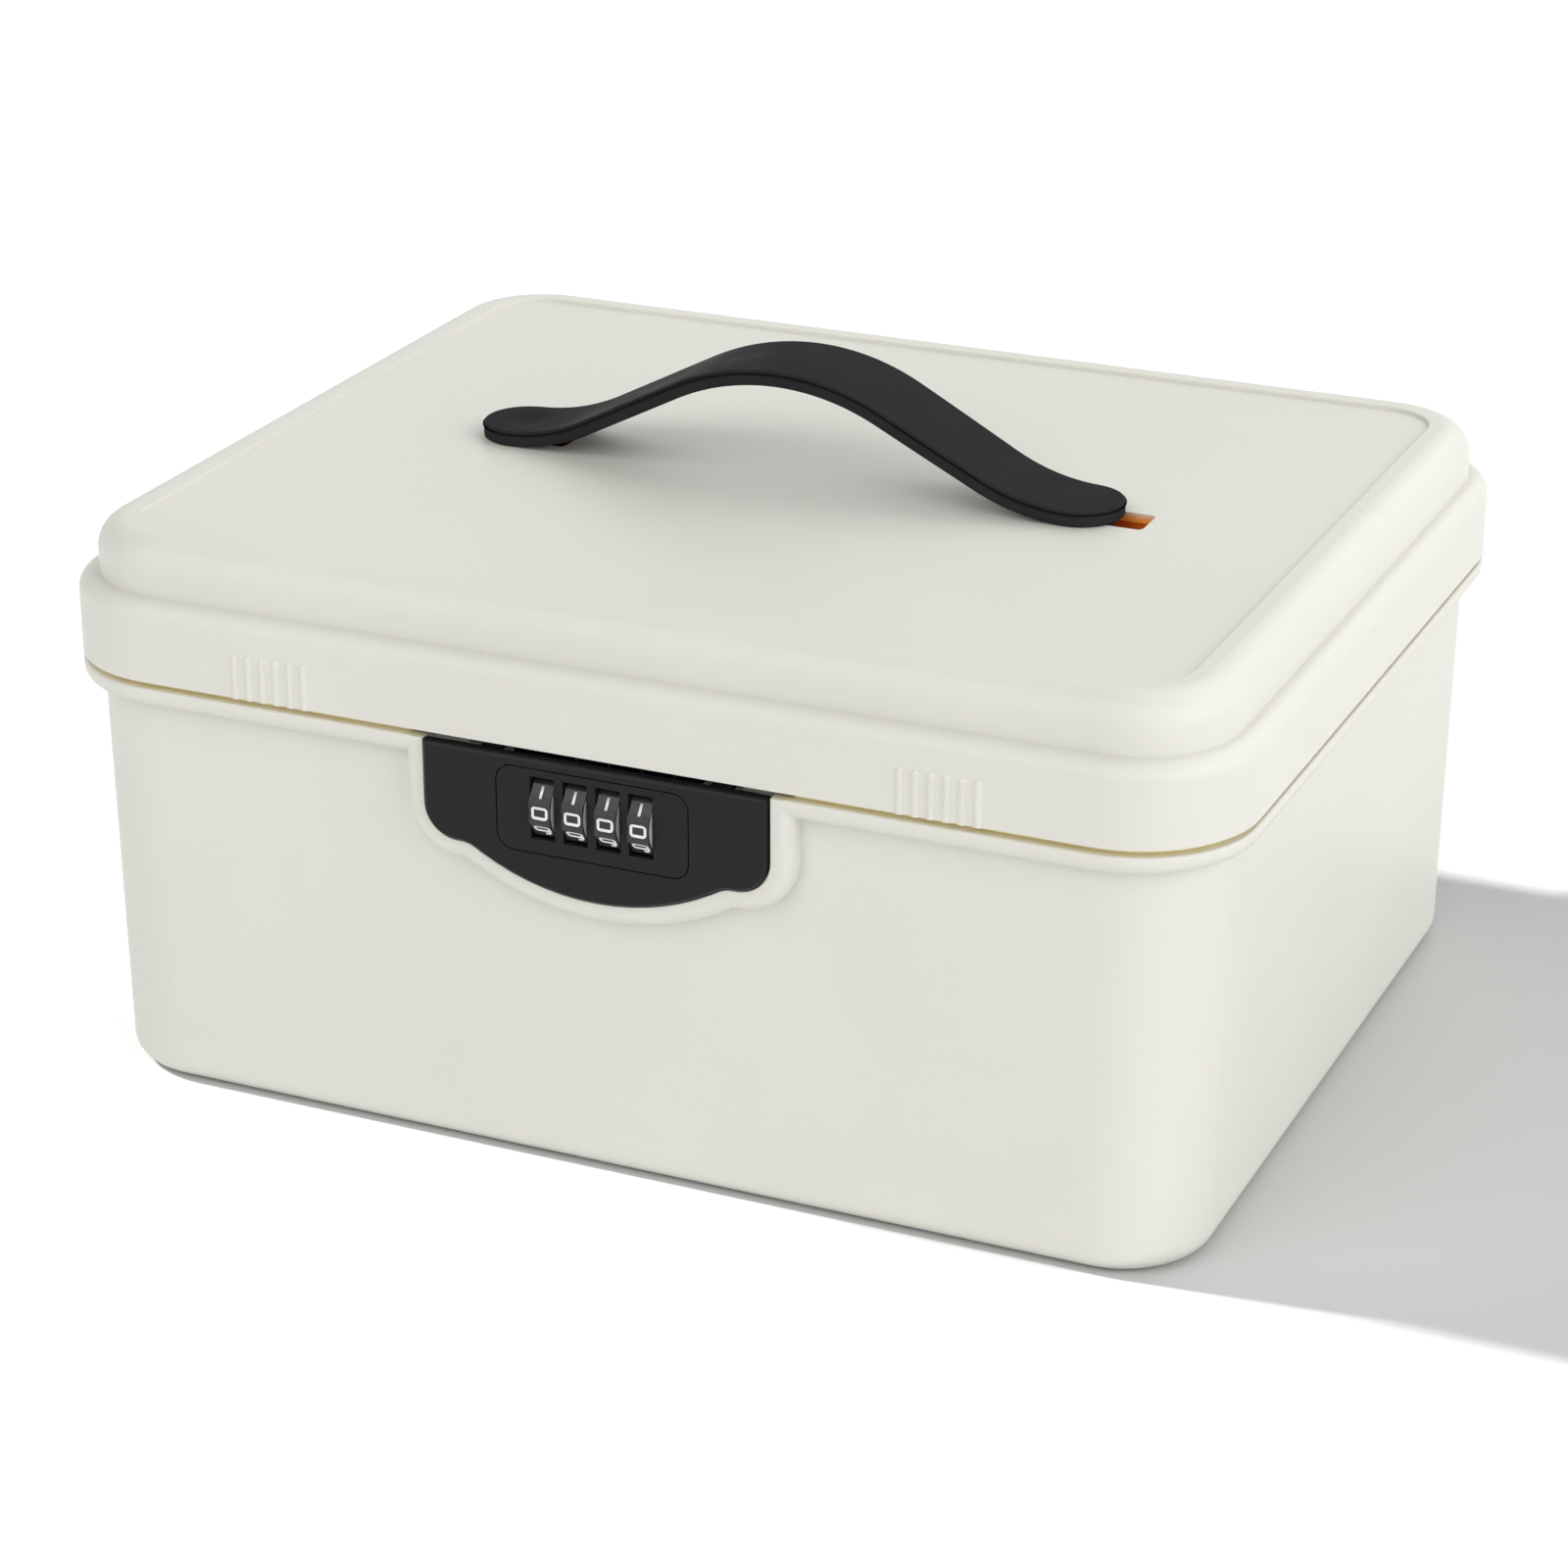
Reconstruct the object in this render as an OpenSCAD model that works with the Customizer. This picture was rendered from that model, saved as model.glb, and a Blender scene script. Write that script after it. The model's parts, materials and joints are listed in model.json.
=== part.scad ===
// Lockable medicine case: a moulded base and hinged lid, a strap handle and a four dial pull latch.
// Millimetres. The case stands on z = 0, its front looks along -Y and +X is to the right.

/* [Case] */
// Width of the closed case over the lid skirt
case_w = 300; // [270:1:340]
// Depth of the closed case over the lid skirt
case_d = 242; // [220:1:280]
// Height of the base up to the top of its flange
base_h = 108.2; // [100:0.2:130]
// Radius of the upright corners at the skirt and flange
corner_r = 29.5; // [27:0.5:36]
// Gap between the base flange and the lid skirt
seam_gap = 1.8; // [1.4:0.1:2.4]

/* [Base] */
// Wall thickness of the base
base_wall = 2.4; // [2:0.1:3]
// Thickness of the floor
floor_t = 2.6; // [2:0.1:4]
// Height of the flange round the top of the base
flange_t = 5; // [4:0.2:6]
// How far the flange stands out from the wall
flange_out = 5; // [4.5:0.1:6]
// Radius along the lower edge of the flange
flange_edge_r = 3.5; // [2:0.1:3.8]
// Radius along the upper edge of the flange
flange_top_r = 0.8; // [0.4:0.1:1]
// How much each side draws in from the flange down to the foot
draft_in = 1.5; // [0.5:0.1:3]
// Radius along the bottom edge
foot_r = 6; // [4:0.5:8]
// Depth of the hollow under the floor, which leaves a standing ring
foot_hollow = 1; // [0.6:0.1:1.6]
// Width of the standing ring inside the bottom edge radius
foot_ring = 9; // [6:0.5:14]
// Height of the dust rim that stands on the flange inside the lid
rim_h = 5; // [3:0.5:8]
// Thickness of the dust rim
rim_t = 2; // [1.4:0.1:2.2]
// Gap between the dust rim and the inside of the skirt
rim_gap = 0.8; // [0.5:0.1:1.2]

/* [Lid] */
// Wall thickness of the lid
lid_wall = 2.4; // [2:0.1:3]
// Height of the skirt
skirt_h = 20; // [18:0.5:26]
// Radius along the top edge of the skirt
skirt_r = 4; // [3:0.2:4.4]
// Width of the ledge between skirt and crown
step_in = 5.2; // [4.8:0.1:7]
// Height of the crown above the ledge
crown_h = 13.4; // [11:0.2:18]
// Radius along the top edge of the crown
crown_r = 7.2; // [5:0.2:8]
// Distance from the skirt face to the edge of the sunk top panel
panel_in = 15.8; // [14:0.2:20]
// Depth of the sunk top panel
panel_sink = 1; // [0.5:0.1:1.4]

/* [Grip ribs] */
// Ribs in each of the two groups on the front of the skirt
rib_count = 6; // [3:1:8]
// Distance from rib to rib
rib_pitch = 3.72; // [3:0.02:4.5]
// Distance from the middle of the case to the middle of a group
rib_x = 85; // [75:1:95]
// Radius of a rib
rib_r = 1.1; // [0.8:0.1:1.4]
// How far a rib stands out of the skirt
rib_out = 0.6; // [0.3:0.1:0.8]
// Height of a rib
rib_h = 11.4; // [8:0.2:14]

/* [Hinge] */
// Distance from the middle of the case to the middle of a hinge
hinge_x = 85; // [60:1:100]
// Distance of the hinge pin behind the skirt
hinge_out = 3.5; // [3.4:0.1:5]
// Radius of the knuckles
knuckle_r = 4.2; // [3.6:0.1:4.4]
// Length of the lid knuckle in the middle of a hinge
lid_knuckle = 20; // [14:1:28]
// Length of each of the two base knuckles beside it
base_knuckle = 10; // [8:1:14]
// Radius of the hinge pin
hinge_pin_r = 1.5; // [1.2:0.1:1.8]
// Angle to which the lid opens
lid_open = 105; // [95:1:110]

/* [Handle] */
// How far the middle of the handle stands right of the middle of the lid
strap_x = -1; // [-2:0.5:2]
// How far the middle of the handle stands behind the middle of the lid
strap_y = -3; // [-6:0.5:6]
// Half the length of the strap to the centre of its round end
strap_half = 75; // [72:0.5:76]
// Width of the strap at its ends
strap_end_w = 22.4; // [20:0.2:26]
// Width of the strap in the middle
strap_mid_w = 27.2; // [24:0.2:32]
// Thickness of the strap
strap_t = 3.9; // [3:0.1:5]
// Height of the strap's top face over the lid panel at the middle
strap_rise = 30; // [26:0.5:34]
// Radius of the top face at the crest
crest_r = 61.5; // [54:0.5:66]
// Radius of the top face where it flattens out to the ends
heel_r = 50; // [44:1:56]
// Steepest angle of the strap
strap_slope = 27.5; // [25:0.5:30]
// Distance from the middle of the handle to a stud's centre
stud_x = 75; // [72:0.5:77]
// Radius of the studs that go through the lid
stud_r = 5; // [4:0.1:5.2]
// Radius of a stud's head under the lid
stud_head_r = 8.5; // [7:0.5:10]
// Thickness of a stud's head
stud_head_t = 2.4; // [1.6:0.2:3]
// How far the handle slides to the left before a stud meets the end of its slot
strap_play = 2.2; // [1.5:0.1:3]
// Gap between the strap's ends and the lid panel
strap_lift = 0.15; // [0.1:0.05:0.3]
// Half the width of the slots in the lid
slot_hw = 5.6; // [5.5:0.1:6.4]
// Radius of the slots' corners
slot_corner = 1.5; // [0.8:0.1:2]
// Inner end of both slots from the middle of the case
slot_in = 63; // [60:0.5:64]
// Outer end of the right slot, where the stud slides as the strap flattens
slot_out_right = 92; // [90:0.5:96]

/* [Latch plate] */
// Half the width of the plate
plate_hw = 43.8; // [42:0.2:45]
// Height of the plate without its lower bulge
plate_h = 24; // [24:0.2:25]
// Radius of the plate's lower corners
plate_r = 8; // [6:0.5:9]
// Radius of the bulge that the fingers pull
bulge_r = 60; // [56:0.5:62]
// How far the bulge hangs below the plate's lower edge
bulge_drop = 9.7; // [9:0.1:10.5]
// Radius of the hollow curve between bulge and lower edge
bulge_blend = 8; // [7:0.5:10]
// Thickness of the plate
plate_t = 3; // [2.6:0.1:3.4]
// How far the plate stands out of the flange face
plate_proud = 1.4; // [1:0.1:2]
// Radius along the plate's front edge
plate_edge_r = 1; // [0.6:0.1:1.2]
// Gap round the plate in its pocket
plate_gap = 0.6; // [0.5:0.1:0.8]
// Width of the raised surround beside the plate
surround = 5.4; // [4.6:0.2:6]
// Height of the latch pivot below the top of the plate
pivot_down = 3.4; // [3.2:0.1:3.8]
// Depth of the latch pivot behind the flange face
pivot_in = 3; // [2.8:0.1:3.4]
// Radius of the latch pins
latch_pin_r = 1.2; // [1:0.1:1.4]
// Angle that the latch swings when it is pulled
latch_swing = 18; // [14:1:18]

/* [Dials] */
// Distance from dial to dial
dial_pitch = 8.4; // [8.2:0.1:8.8]
// Width of a dial
dial_w = 5.4; // [5:0.1:5.5]
// Distance from the axis to a number face
dial_face_r = 7.9; // [7.6:0.1:8]
// Radius over the bars between the numbers
dial_bar_r = 8.4; // [8.2:0.1:8.6]
// How far the dials stand out of the bezel
dial_proud = 2; // [1.5:0.1:2.2]
// Height of the dial axis below the top of the plate
dial_down = 12.5; // [12.3:0.1:12.6]
// Width of a window
window_w = 6.3; // [6.1:0.1:6.6]
// Height of a window
window_h = 15.6; // [14:0.2:16]
// Radius of the spindle
spindle_r = 1.5; // [1.2:0.1:1.8]
// Half the width of the bezel that fills the latch plate's opening
bezel_hw = 24.4; // [23.8:0.1:24.8]
// Height of the bezel
bezel_h = 20.9; // [20.5:0.1:21]
// Radius of the bezel's corners
bezel_r = 4; // [3:0.5:5.5]
// Seam between bezel and plate
bezel_seam = 0.3; // [0.25:0.05:0.4]

/* [Fits] */
// Radial clearance of a pin that turns in a bore
pin_fit = 0.06; // [0.03:0.01:0.1]
// Gap between pieces that move past each other
run_gap = 0.3; // [0.25:0.05:0.4]

/* [Hidden] */
$fn = 96;
// A small step past a face that is cut through
over = 1;

// Outline centres and heights of the case
half_w = case_w / 2;
half_d = case_d / 2;
corner_x = half_w - corner_r;
corner_y = half_d - corner_r;
flange_z = base_h - flange_t;
wall_u = corner_r - flange_out;
foot_u = wall_u - draft_in;
floor_z = foot_hollow + floor_t;
rim_u = corner_r - lid_wall - rim_gap;
seam_z = base_h + seam_gap;
ledge_z = seam_z + skirt_h;
lid_top = ledge_z + crown_h;
panel_z = lid_top - panel_sink;
panel_under = panel_z - lid_wall;
crown_u = corner_r - step_in;

// Hinge
hinge_y = half_d + hinge_out;
hinge_z = base_h + seam_gap / 2;
knuckle_clear = knuckle_r + 0.4;
knuckle_gap = 0.4;
web_in = 4;
stop_near = knuckle_r + 0.8;
stop_far = stop_near + 1.6;
stop_back = 1;
hinge_half = lid_knuckle / 2 + knuckle_gap + base_knuckle;
pin_sink = 0.5;

// Front of the lock. Depths are taken from the flange face.
front_y = -half_d;
plate_front = front_y - plate_proud;
plate_back = plate_front + plate_t;
pocket_y = plate_back + 1.2;
seat_y = front_y + 8.4;
cover_y = seat_y + 1;
plate_low = base_h - plate_h;
corner_h = plate_low + plate_r;
corner_lx = plate_hw - plate_r;
bulge_h = plate_low - bulge_drop + bulge_r;
bulge_core = 24;
pivot_y = front_y + pivot_in;
pivot_z = base_h - pivot_down;
dial_y = plate_front - dial_proud + dial_bar_r;
dial_z = base_h - dial_down;
bezel_low = dial_z - bezel_h / 2 - 0.4;
bezel_back = dial_y + 5.4;
bezel_hole_x = 16;
bezel_hole_z = bezel_low - 3.6;
bezel_wall = 1.6;

// Slots for the handle: ends of the left and the right one, and of the wells under them
stud_left = strap_x - stud_x;
stud_right = strap_x + stud_x;
slot_left = [stud_left - stud_r - strap_play - run_gap, -slot_in];
slot_right = [slot_in, slot_out_right];
strap_slide = slot_left[1] - stud_left - stud_r - run_gap;
well_gap = 0.6;
well_left = [stud_left - stud_head_r - strap_play - well_gap,
             stud_left + stud_head_r + strap_slide + well_gap];
well_right = [stud_right - stud_head_r - strap_play - well_gap,
              max(slot_out_right, stud_right + stud_head_r + strap_slide) + well_gap];
well_hw = stud_head_r + well_gap;
well_wall = 1.6;
well_z = panel_under - stud_head_t - 2 * run_gap;

// Latch parts behind the plate
arm_in = 27;
arm_w = 5;
ear_in = 35;
ear_w = 4.5;
ear_r = 2.6;
spring_w = 2.2;
pin_start = ear_in - 2;
pin_end = plate_hw + plate_gap + 4;
bracket_t = 1.2;
nose_y = front_y + 6.3;
arm_y = front_y + 7;
arm_t = 1.2;
nose_z = seam_z + 3;
nose_h = 3.2;
dial_count = 4;
hook_screw_z = [plate_low + 4, plate_low + 14];
hook_screw_r = 0.9;
strike_hw = 38;
strike_t = 1.2;
strike_h = 13;
strike_z = seam_z + 1;
strike_lip = nose_y - run_gap;
strike_hole_x = 20;
strike_hole_z = strike_z + 9;
boss_r = 3.2;
boss_t = 1;
comb_z = pivot_z + 0.2;
comb_t = 1.6;
comb_y = dial_y + 7.5;
tooth_y = dial_y + 4.9;
tooth_t = 1.2;
tooth_low = pivot_z - 4;
tooth_w = 0.8;
notch = 2.2;
sleeve_r = 7.6;
sleeve_t = 0.5;
sleeve_hub_r = 3.4;
cam_r = 4.2;
cam_w = tooth_w + 2 * run_gap;
clip_t = 0.8;
// Half the width of the room for the dials, with the spindle clips at its ends
bezel_room = (dial_count - 1) / 2 * dial_pitch + dial_w / 2 + cam_w + run_gap + clip_t;
scallop_r = 7;
// Angle from the middle of a number face to the bar beside it
bar_edge = acos((pow(dial_bar_r, 2) + pow(dial_face_r + scallop_r, 2) - pow(scallop_r, 2))
    / (2 * dial_bar_r * (dial_face_r + scallop_r)));

// Lock cover inside the case
cover_hw = 46;
cover_low = base_h - 37;
cover_back = comb_y + 5.6;
cover_wall = 1.8;
cover_flange = 6;
cover_top = base_h + 1;
cover_hole_x = cover_hw - cover_flange / 2;
cover_holes_z = [cover_low + 4, base_h - 9];
// Back of the slot that the swinging hooks need in the top of the cover
arm_depth = arm_y + arm_t - pivot_y;
hook_room_y = pivot_y + (arm_depth + (cover_top - pivot_z) * sin(latch_swing)) / cos(latch_swing) + 1;
slider_slot = 12;
slider_w = 8;
screw_r = 1.3;
head_r = 2.4;
head_t = 1.4;

// The origin is the middle of the whole object, which the hinge and the dials reach past
front_reach = half_d + plate_proud + dial_proud - dial_bar_r * (1 - cos(bar_edge));
base_stop_y = turned(stop_back + run_gap, stop_far)[0];
rear_reach = hinge_y + max(knuckle_r, base_stop_y - hinge_y);
shift_y = (front_reach - rear_reach) / 2;

cream = [0.87, 0.87, 0.84];
black = [0.15, 0.15, 0.16];
grey = [0.6, 0.6, 0.6];
steel = [0.7, 0.71, 0.73];

// Puts a case-centred piece in the object's frame
module place() translate([0, shift_y, 0]) children();

// Sweeps a profile, drawn as distance from the corner centre and height, round the case
module around() {
    for (sx = [0, 1]) mirror([sx, 0, 0]) {
        for (sy = [0, 1]) mirror([0, sy, 0])
            translate([corner_x, corner_y, 0]) rotate_extrude(angle = 90) children();
        translate([corner_x, corner_y, 0]) rotate([90, 0, 0])
            linear_extrude(2 * corner_y) children();
    }
    for (sy = [0, 1]) mirror([0, sy, 0]) translate([-corner_x, corner_y, 0]) rotate([90, 0, 90])
        linear_extrude(2 * corner_x) children();
}

// Fills the middle between the four corner centres
module middle(z0, z1) translate([-corner_x, -corner_y, z0])
    cube([2 * corner_x, 2 * corner_y, z1 - z0]);

module filled(z0, z1) {
    around() children();
    middle(z0, z1);
}

// A wall that leans out from u0 at z0 to u1 at z1, with radius r along its foot
module drafted(u0, z0, u1, z1, r) {
    lean = atan((u1 - u0) / (z1 - z0));
    uc = u0 - r * (1 - sin(lean)) / cos(lean);
    polygon([[0, z0], [uc, z0], [uc + r * cos(lean), z0 + r - r * sin(lean)], [u1, z1], [0, z1]]);
    translate([uc, z0 + r]) circle(r);
}

// A block profile with radius r along its top edge
module topped(u, z0, z1, r) {
    translate([0, z0]) square([u, z1 - r - z0]);
    translate([0, z0]) square([u - r, z1 - z0]);
    translate([u - r, z1 - r]) circle(r);
}

// Width of the base cavity at a height
function cavity_u(z) = foot_u - base_wall + draft_in * z / flange_z;

module flange_profile() difference() {
    translate([0, flange_z]) square([corner_r, flange_t]);
    translate([corner_r - flange_edge_r, flange_z - over]) difference() {
        square([flange_edge_r + over, flange_edge_r + over]);
        translate([0, flange_edge_r + over]) circle(flange_edge_r);
    }
    translate([corner_r - flange_top_r, base_h - flange_top_r]) difference() {
        square([flange_top_r + over, flange_top_r + over]);
        circle(flange_top_r);
    }
}

module rim_profile() translate([rim_u - rim_t, base_h - over]) square([rim_t, rim_h + over]);

// Cylinder along X from x0 to x1 at a place in the YZ plane
module along_x(x0, x1, y, z, r) translate([x0, y, z]) rotate([0, 90, 0]) cylinder(r = r, h = x1 - x0);

// Extrudes a YZ outline along X from x0 to x1
module plate_x(x0, x1) translate([x0, 0, 0]) rotate([90, 0, 90]) linear_extrude(x1 - x0) children();

// Repeats a child at both sides of the middle
module both_sides() for (s = [0, 1]) mirror([s, 0, 0]) children();

// Draws in the front view: x to the right, y up, z out towards the viewer, from the plane at y
module front_view(y) translate([0, y, 0]) rotate([90, 0, 0]) children();

// Edge section in the front view: reach outwards and depth, with radius e on the outer front edge
module edge_section(reach, depth, e) {
    if (e > 0) {
        square([reach, depth - e]);
        square([reach - e, depth]);
        translate([reach - e, depth - e]) circle(e);
    } else square([reach, depth]);
}

// The latch outline grown by o, as a solid of a depth with radius e along the front edge.
// The hollow beside the bulge is drawn a hair deeper, so the curves cross instead of only touching.
// Where it would be tight it is left as a crease.
module latch_form(o, depth, e, top) {
    hair = 0.02;
    blend = bulge_blend - o;
    blend_h = plate_low - bulge_blend;
    blend_x = sqrt(pow(bulge_r + bulge_blend, 2) - pow(bulge_h - blend_h, 2));
    meet = asin(blend_x / (bulge_r + bulge_blend));
    hollow = blend > e + 2;
    straight_x = hollow ? blend_x - 1.6 : 0;
    sweep = hollow ? meet + 2 : meet + 8;
    core = plate_r + o;
    translate([0, top, 0]) rotate([90, 0, 0]) linear_extrude(top - corner_h)
        for (s = [0, 1]) mirror([s, 0]) edge_section(plate_hw + o, depth, e);
    both_sides() {
        translate([corner_lx, corner_h, 0]) rotate(270) rotate_extrude(angle = 90)
            edge_section(core, depth, e);
        translate([straight_x, corner_h, 0]) rotate([90, 0, 90]) linear_extrude(corner_lx - straight_x)
            mirror([1, 0]) edge_section(core, depth, e);
        if (hollow) translate([blend_x, blend_h, 0]) rotate(90) rotate_extrude(angle = meet)
            translate([blend + hair + core - 1.5, 0]) mirror([1, 0]) edge_section(core - 1.5, depth, e);
    }
    translate([0, bulge_h, 0]) rotate(270 - sweep) rotate_extrude(angle = 2 * sweep)
        translate([bulge_r - bulge_core, 0]) edge_section(bulge_core + o, depth, e);
    translate([-blend_x, plate_low - o + e + 0.5, 0])
        cube([2 * blend_x, corner_h - plate_low + o - e, depth]);
}

// Grip ribs on the front of the skirt
module grip_ribs() both_sides() for (i = [0 : rib_count - 1])
    translate([rib_x + (i - (rib_count - 1) / 2) * rib_pitch, front_y + rib_r - rib_out, seam_z]) {
        cylinder(r = rib_r, h = rib_h - rib_r);
        translate([0, 0, rib_h - rib_r]) sphere(rib_r);
    }

// Slot through the lid panel with its ends at the two places of a list
module lid_slot(ends) translate([(ends[0] + ends[1]) / 2, strap_y, panel_under - over])
    linear_extrude(lid_wall + 2 * over) {
        hl = (ends[1] - ends[0]) / 2;
        square([2 * hl, 2 * (slot_hw - slot_corner)], center = true);
        square([2 * (hl - slot_corner), 2 * slot_hw], center = true);
        for (x = [-1, 1], y = [-1, 1]) translate([x * (hl - slot_corner), y * (slot_hw - slot_corner)])
            circle(slot_corner);
    }

// Closed well under a slot, grown by o, in which the stud's head slides
module lid_well(ends, o) translate([ends[0] - o, strap_y - well_hw - o, well_z - o])
    cube([ends[1] - ends[0] + 2 * o, 2 * (well_hw + o), panel_under - well_z + o + (o > 0 ? over : 0)]);

// Outlines of the hinge webs, seen from the right
module lid_web() polygon([[half_d - over, hinge_z], [half_d - over, hinge_z + 12],
    [half_d + 0.8, hinge_z + 12], [hinge_y + knuckle_r * cos(30), hinge_z + knuckle_r * sin(30)], [hinge_y, hinge_z]]);

module lid_stop() translate([half_d - over, hinge_z + stop_near])
    square([hinge_out + over + stop_back, stop_far - stop_near]);

function turned(y, z) = [hinge_y + y * cos(lid_open) + z * sin(lid_open),
                         hinge_z - y * sin(lid_open) + z * cos(lid_open)];

module base_web() {
    near = turned(stop_back + run_gap, stop_near - 0.6);
    far = turned(stop_back + run_gap, stop_far);
    polygon([[half_d - web_in, base_h - 0.4], [half_d - web_in, flange_z + 0.4], [hinge_y - 1, hinge_z - 11],
        [far[0], far[1] - 2], far, near, [hinge_y, hinge_z - 1]]);
}

module base_knuckles(r, grow) for (x = [lid_knuckle / 2 + knuckle_gap, -hinge_half])
    along_x(hinge_x + x - grow, hinge_x + x + base_knuckle + grow, hinge_y, hinge_z, r);

module lid_shell() color(cream) place() difference() {
    union() {
        filled(seam_z, lid_top) {
            topped(corner_r, seam_z, ledge_z, skirt_r);
            topped(crown_u, seam_z, lid_top, crown_r);
        }
        grip_ribs();
        both_sides() {
            along_x(hinge_x - lid_knuckle / 2, hinge_x + lid_knuckle / 2, hinge_y, hinge_z, knuckle_r);
            plate_x(hinge_x - lid_knuckle / 2, hinge_x + lid_knuckle / 2) lid_web();
            plate_x(hinge_x - hinge_half, hinge_x + hinge_half) lid_stop();
        }
    }
    difference() {
        filled(seam_z - over, panel_under) {
            topped(corner_r - lid_wall, seam_z - over, ledge_z - lid_wall, skirt_r - lid_wall);
            topped(crown_u - lid_wall, seam_z - over, panel_under, crown_r - lid_wall);
        }
        both_sides() translate([strike_hole_x, front_y + lid_wall + boss_t, strike_hole_z])
            rotate([90, 0, 0]) cylinder(r = boss_r, h = boss_t + over);
        lid_well(well_left, well_wall);
        lid_well(well_right, well_wall);
    }
    filled(panel_z, lid_top + over) translate([0, panel_z])
        square([corner_r - panel_in, panel_sink + over]);
    lid_well(well_left, 0);
    lid_well(well_right, 0);
    lid_slot(slot_left);
    lid_slot(slot_right);
    both_sides() {
        base_knuckles(knuckle_clear, knuckle_gap);
        along_x(hinge_x - hinge_half, hinge_x + hinge_half, hinge_y, hinge_z, hinge_pin_r + pin_fit);
        translate([strike_hole_x, front_y + lid_wall + boss_t + over, strike_hole_z]) rotate([90, 0, 0])
            cylinder(r = screw_r, h = boss_t + over + lid_wall - 0.9);
    }
}

// Pocket, openings and bores of the lock in the base
module lock_cuts() {
    front_view(pocket_y) latch_form(plate_gap, 20, 0, base_h + rim_h + over);
    translate([-bezel_hw - run_gap, pocket_y - over, bezel_low - run_gap])
        cube([2 * (bezel_hw + run_gap), 20, base_h]);
    // The wall behind the plate's top edge is lower, so the dark lock shows there
    translate([-ear_in, pocket_y - over, base_h - 2.2])
        cube([2 * ear_in, cover_y - pocket_y + 2 * over, rim_h + 4]);
    both_sides() {
        translate([arm_in - 0.6, pocket_y - over, pivot_z - 5]) cube([arm_w + 1.2, 20, base_h]);
        translate([arm_in - 0.6, pocket_y - over, plate_low + 0.6])
            cube([arm_w + 1.2, over + bracket_t, base_h]);
        along_x(ear_in - run_gap, plate_hw + plate_gap, pivot_y, pivot_z, ear_r + run_gap);
        translate([ear_in - run_gap, pocket_y - over, pivot_z])
            cube([plate_hw + plate_gap - ear_in + run_gap, pivot_y + ear_r + run_gap - pocket_y + over, base_h]);
        along_x(pin_start - 0.2, pin_end + 0.2, pivot_y, pivot_z, latch_pin_r);
    }
}

module base_shell() color(cream) place() difference() {
    union() {
        filled(0, base_h) {
            drafted(foot_u, 0, wall_u, flange_z, foot_r);
            flange_profile();
        }
        around() rim_profile();
        front_view(front_y + 8) intersection() {
            latch_form(surround + plate_gap, 8, flange_edge_r, base_h);
            translate([-half_w, 0, -over]) cube([case_w, base_h, 20]);
        }
        both_sides() {
            base_knuckles(knuckle_r, 0);
            plate_x(hinge_x + lid_knuckle / 2 + knuckle_gap, hinge_x + hinge_half) base_web();
            plate_x(hinge_x - hinge_half, hinge_x - lid_knuckle / 2 - knuckle_gap) base_web();
        }
    }
    difference() {
        filled(floor_z, base_h + rim_h + over)
            drafted(cavity_u(floor_z), floor_z, cavity_u(base_h + rim_h + over), base_h + rim_h + over,
                foot_r - base_wall);
        // Flat seat for the lock cover
        translate([-cover_hw - 2, front_y, cover_low - 2])
            cube([2 * cover_hw + 4, cover_y - front_y, base_h - cover_low + 2]);
    }
    // Sunk seat for the bezel
    translate([-bezel_hw - 2 - run_gap, seat_y, bezel_hole_z - 3.4 - run_gap])
        cube([2 * (bezel_hw + 2 + run_gap), corner_r, base_h]);
    filled(-over, foot_hollow) translate([0, -over])
        square([foot_u - foot_r - foot_ring, over + foot_hollow]);
    // The dust rim stops at the lock
    translate([-cover_hw - 3, front_y, base_h]) cube([2 * cover_hw + 6, corner_r, rim_h + over]);
    lock_cuts();
    both_sides() {
        along_x(hinge_x - lid_knuckle / 2 - knuckle_gap, hinge_x + lid_knuckle / 2 + knuckle_gap,
            hinge_y, hinge_z, knuckle_clear);
        along_x(hinge_x - hinge_half - over, hinge_x + hinge_half + over, hinge_y, hinge_z, hinge_pin_r);
        for (z = cover_holes_z) translate([cover_hole_x, cover_y + over, z]) rotate([90, 0, 0])
            cylinder(r = screw_r, h = over + 3.2);
        translate([bezel_hole_x, seat_y + over, bezel_hole_z]) rotate([90, 0, 0])
            cylinder(r = screw_r, h = over + 3);
    }
}

module hinge_pins() color(steel) place() both_sides()
    along_x(hinge_x - hinge_half + pin_sink, hinge_x + hinge_half - pin_sink,
        hinge_y, hinge_z, hinge_pin_r);

// Everything under the strap's top face lowered by t, w wide: crest, straight slopes, heels and flat ends.
// The slopes run a hair inside the arcs, so the curves cross instead of only touching.
module under_strap(t, w) {
    hair = 0.02;
    end_top = panel_z + strap_lift + strap_t - t;
    crest = crest_r - t;
    heel = heel_r + t;
    crest_z = panel_z + strap_rise - crest_r;
    heel_z = end_top + heel;
    run = (crest + heel) * sin(strap_slope)
        + (crest_z + (crest + heel) * cos(strap_slope) - heel_z) / tan(strap_slope);
    translate([0, w / 2, 0]) rotate([90, 0, 0]) difference() {
        union() {
            translate([0, crest_z, 0]) cylinder(r = crest, h = w, $fn = 360);
            for (s = [0, 1]) mirror([s, 0, 0]) linear_extrude(w) polygon([[-over, crest_z],
                [(crest - hair) * sin(strap_slope), crest_z + (crest - hair) * cos(strap_slope)],
                [run - (heel - hair) * sin(strap_slope), heel_z - (heel - hair) * cos(strap_slope)],
                [run, heel_z], [run, end_top], [2 * strap_half, end_top], [2 * strap_half, 0], [-over, 0]]);
        }
        for (x = [-run, run]) translate([x, heel_z - hair, -over])
            cylinder(r = heel, h = w + 2 * over, $fn = 360);
    }
}

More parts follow.
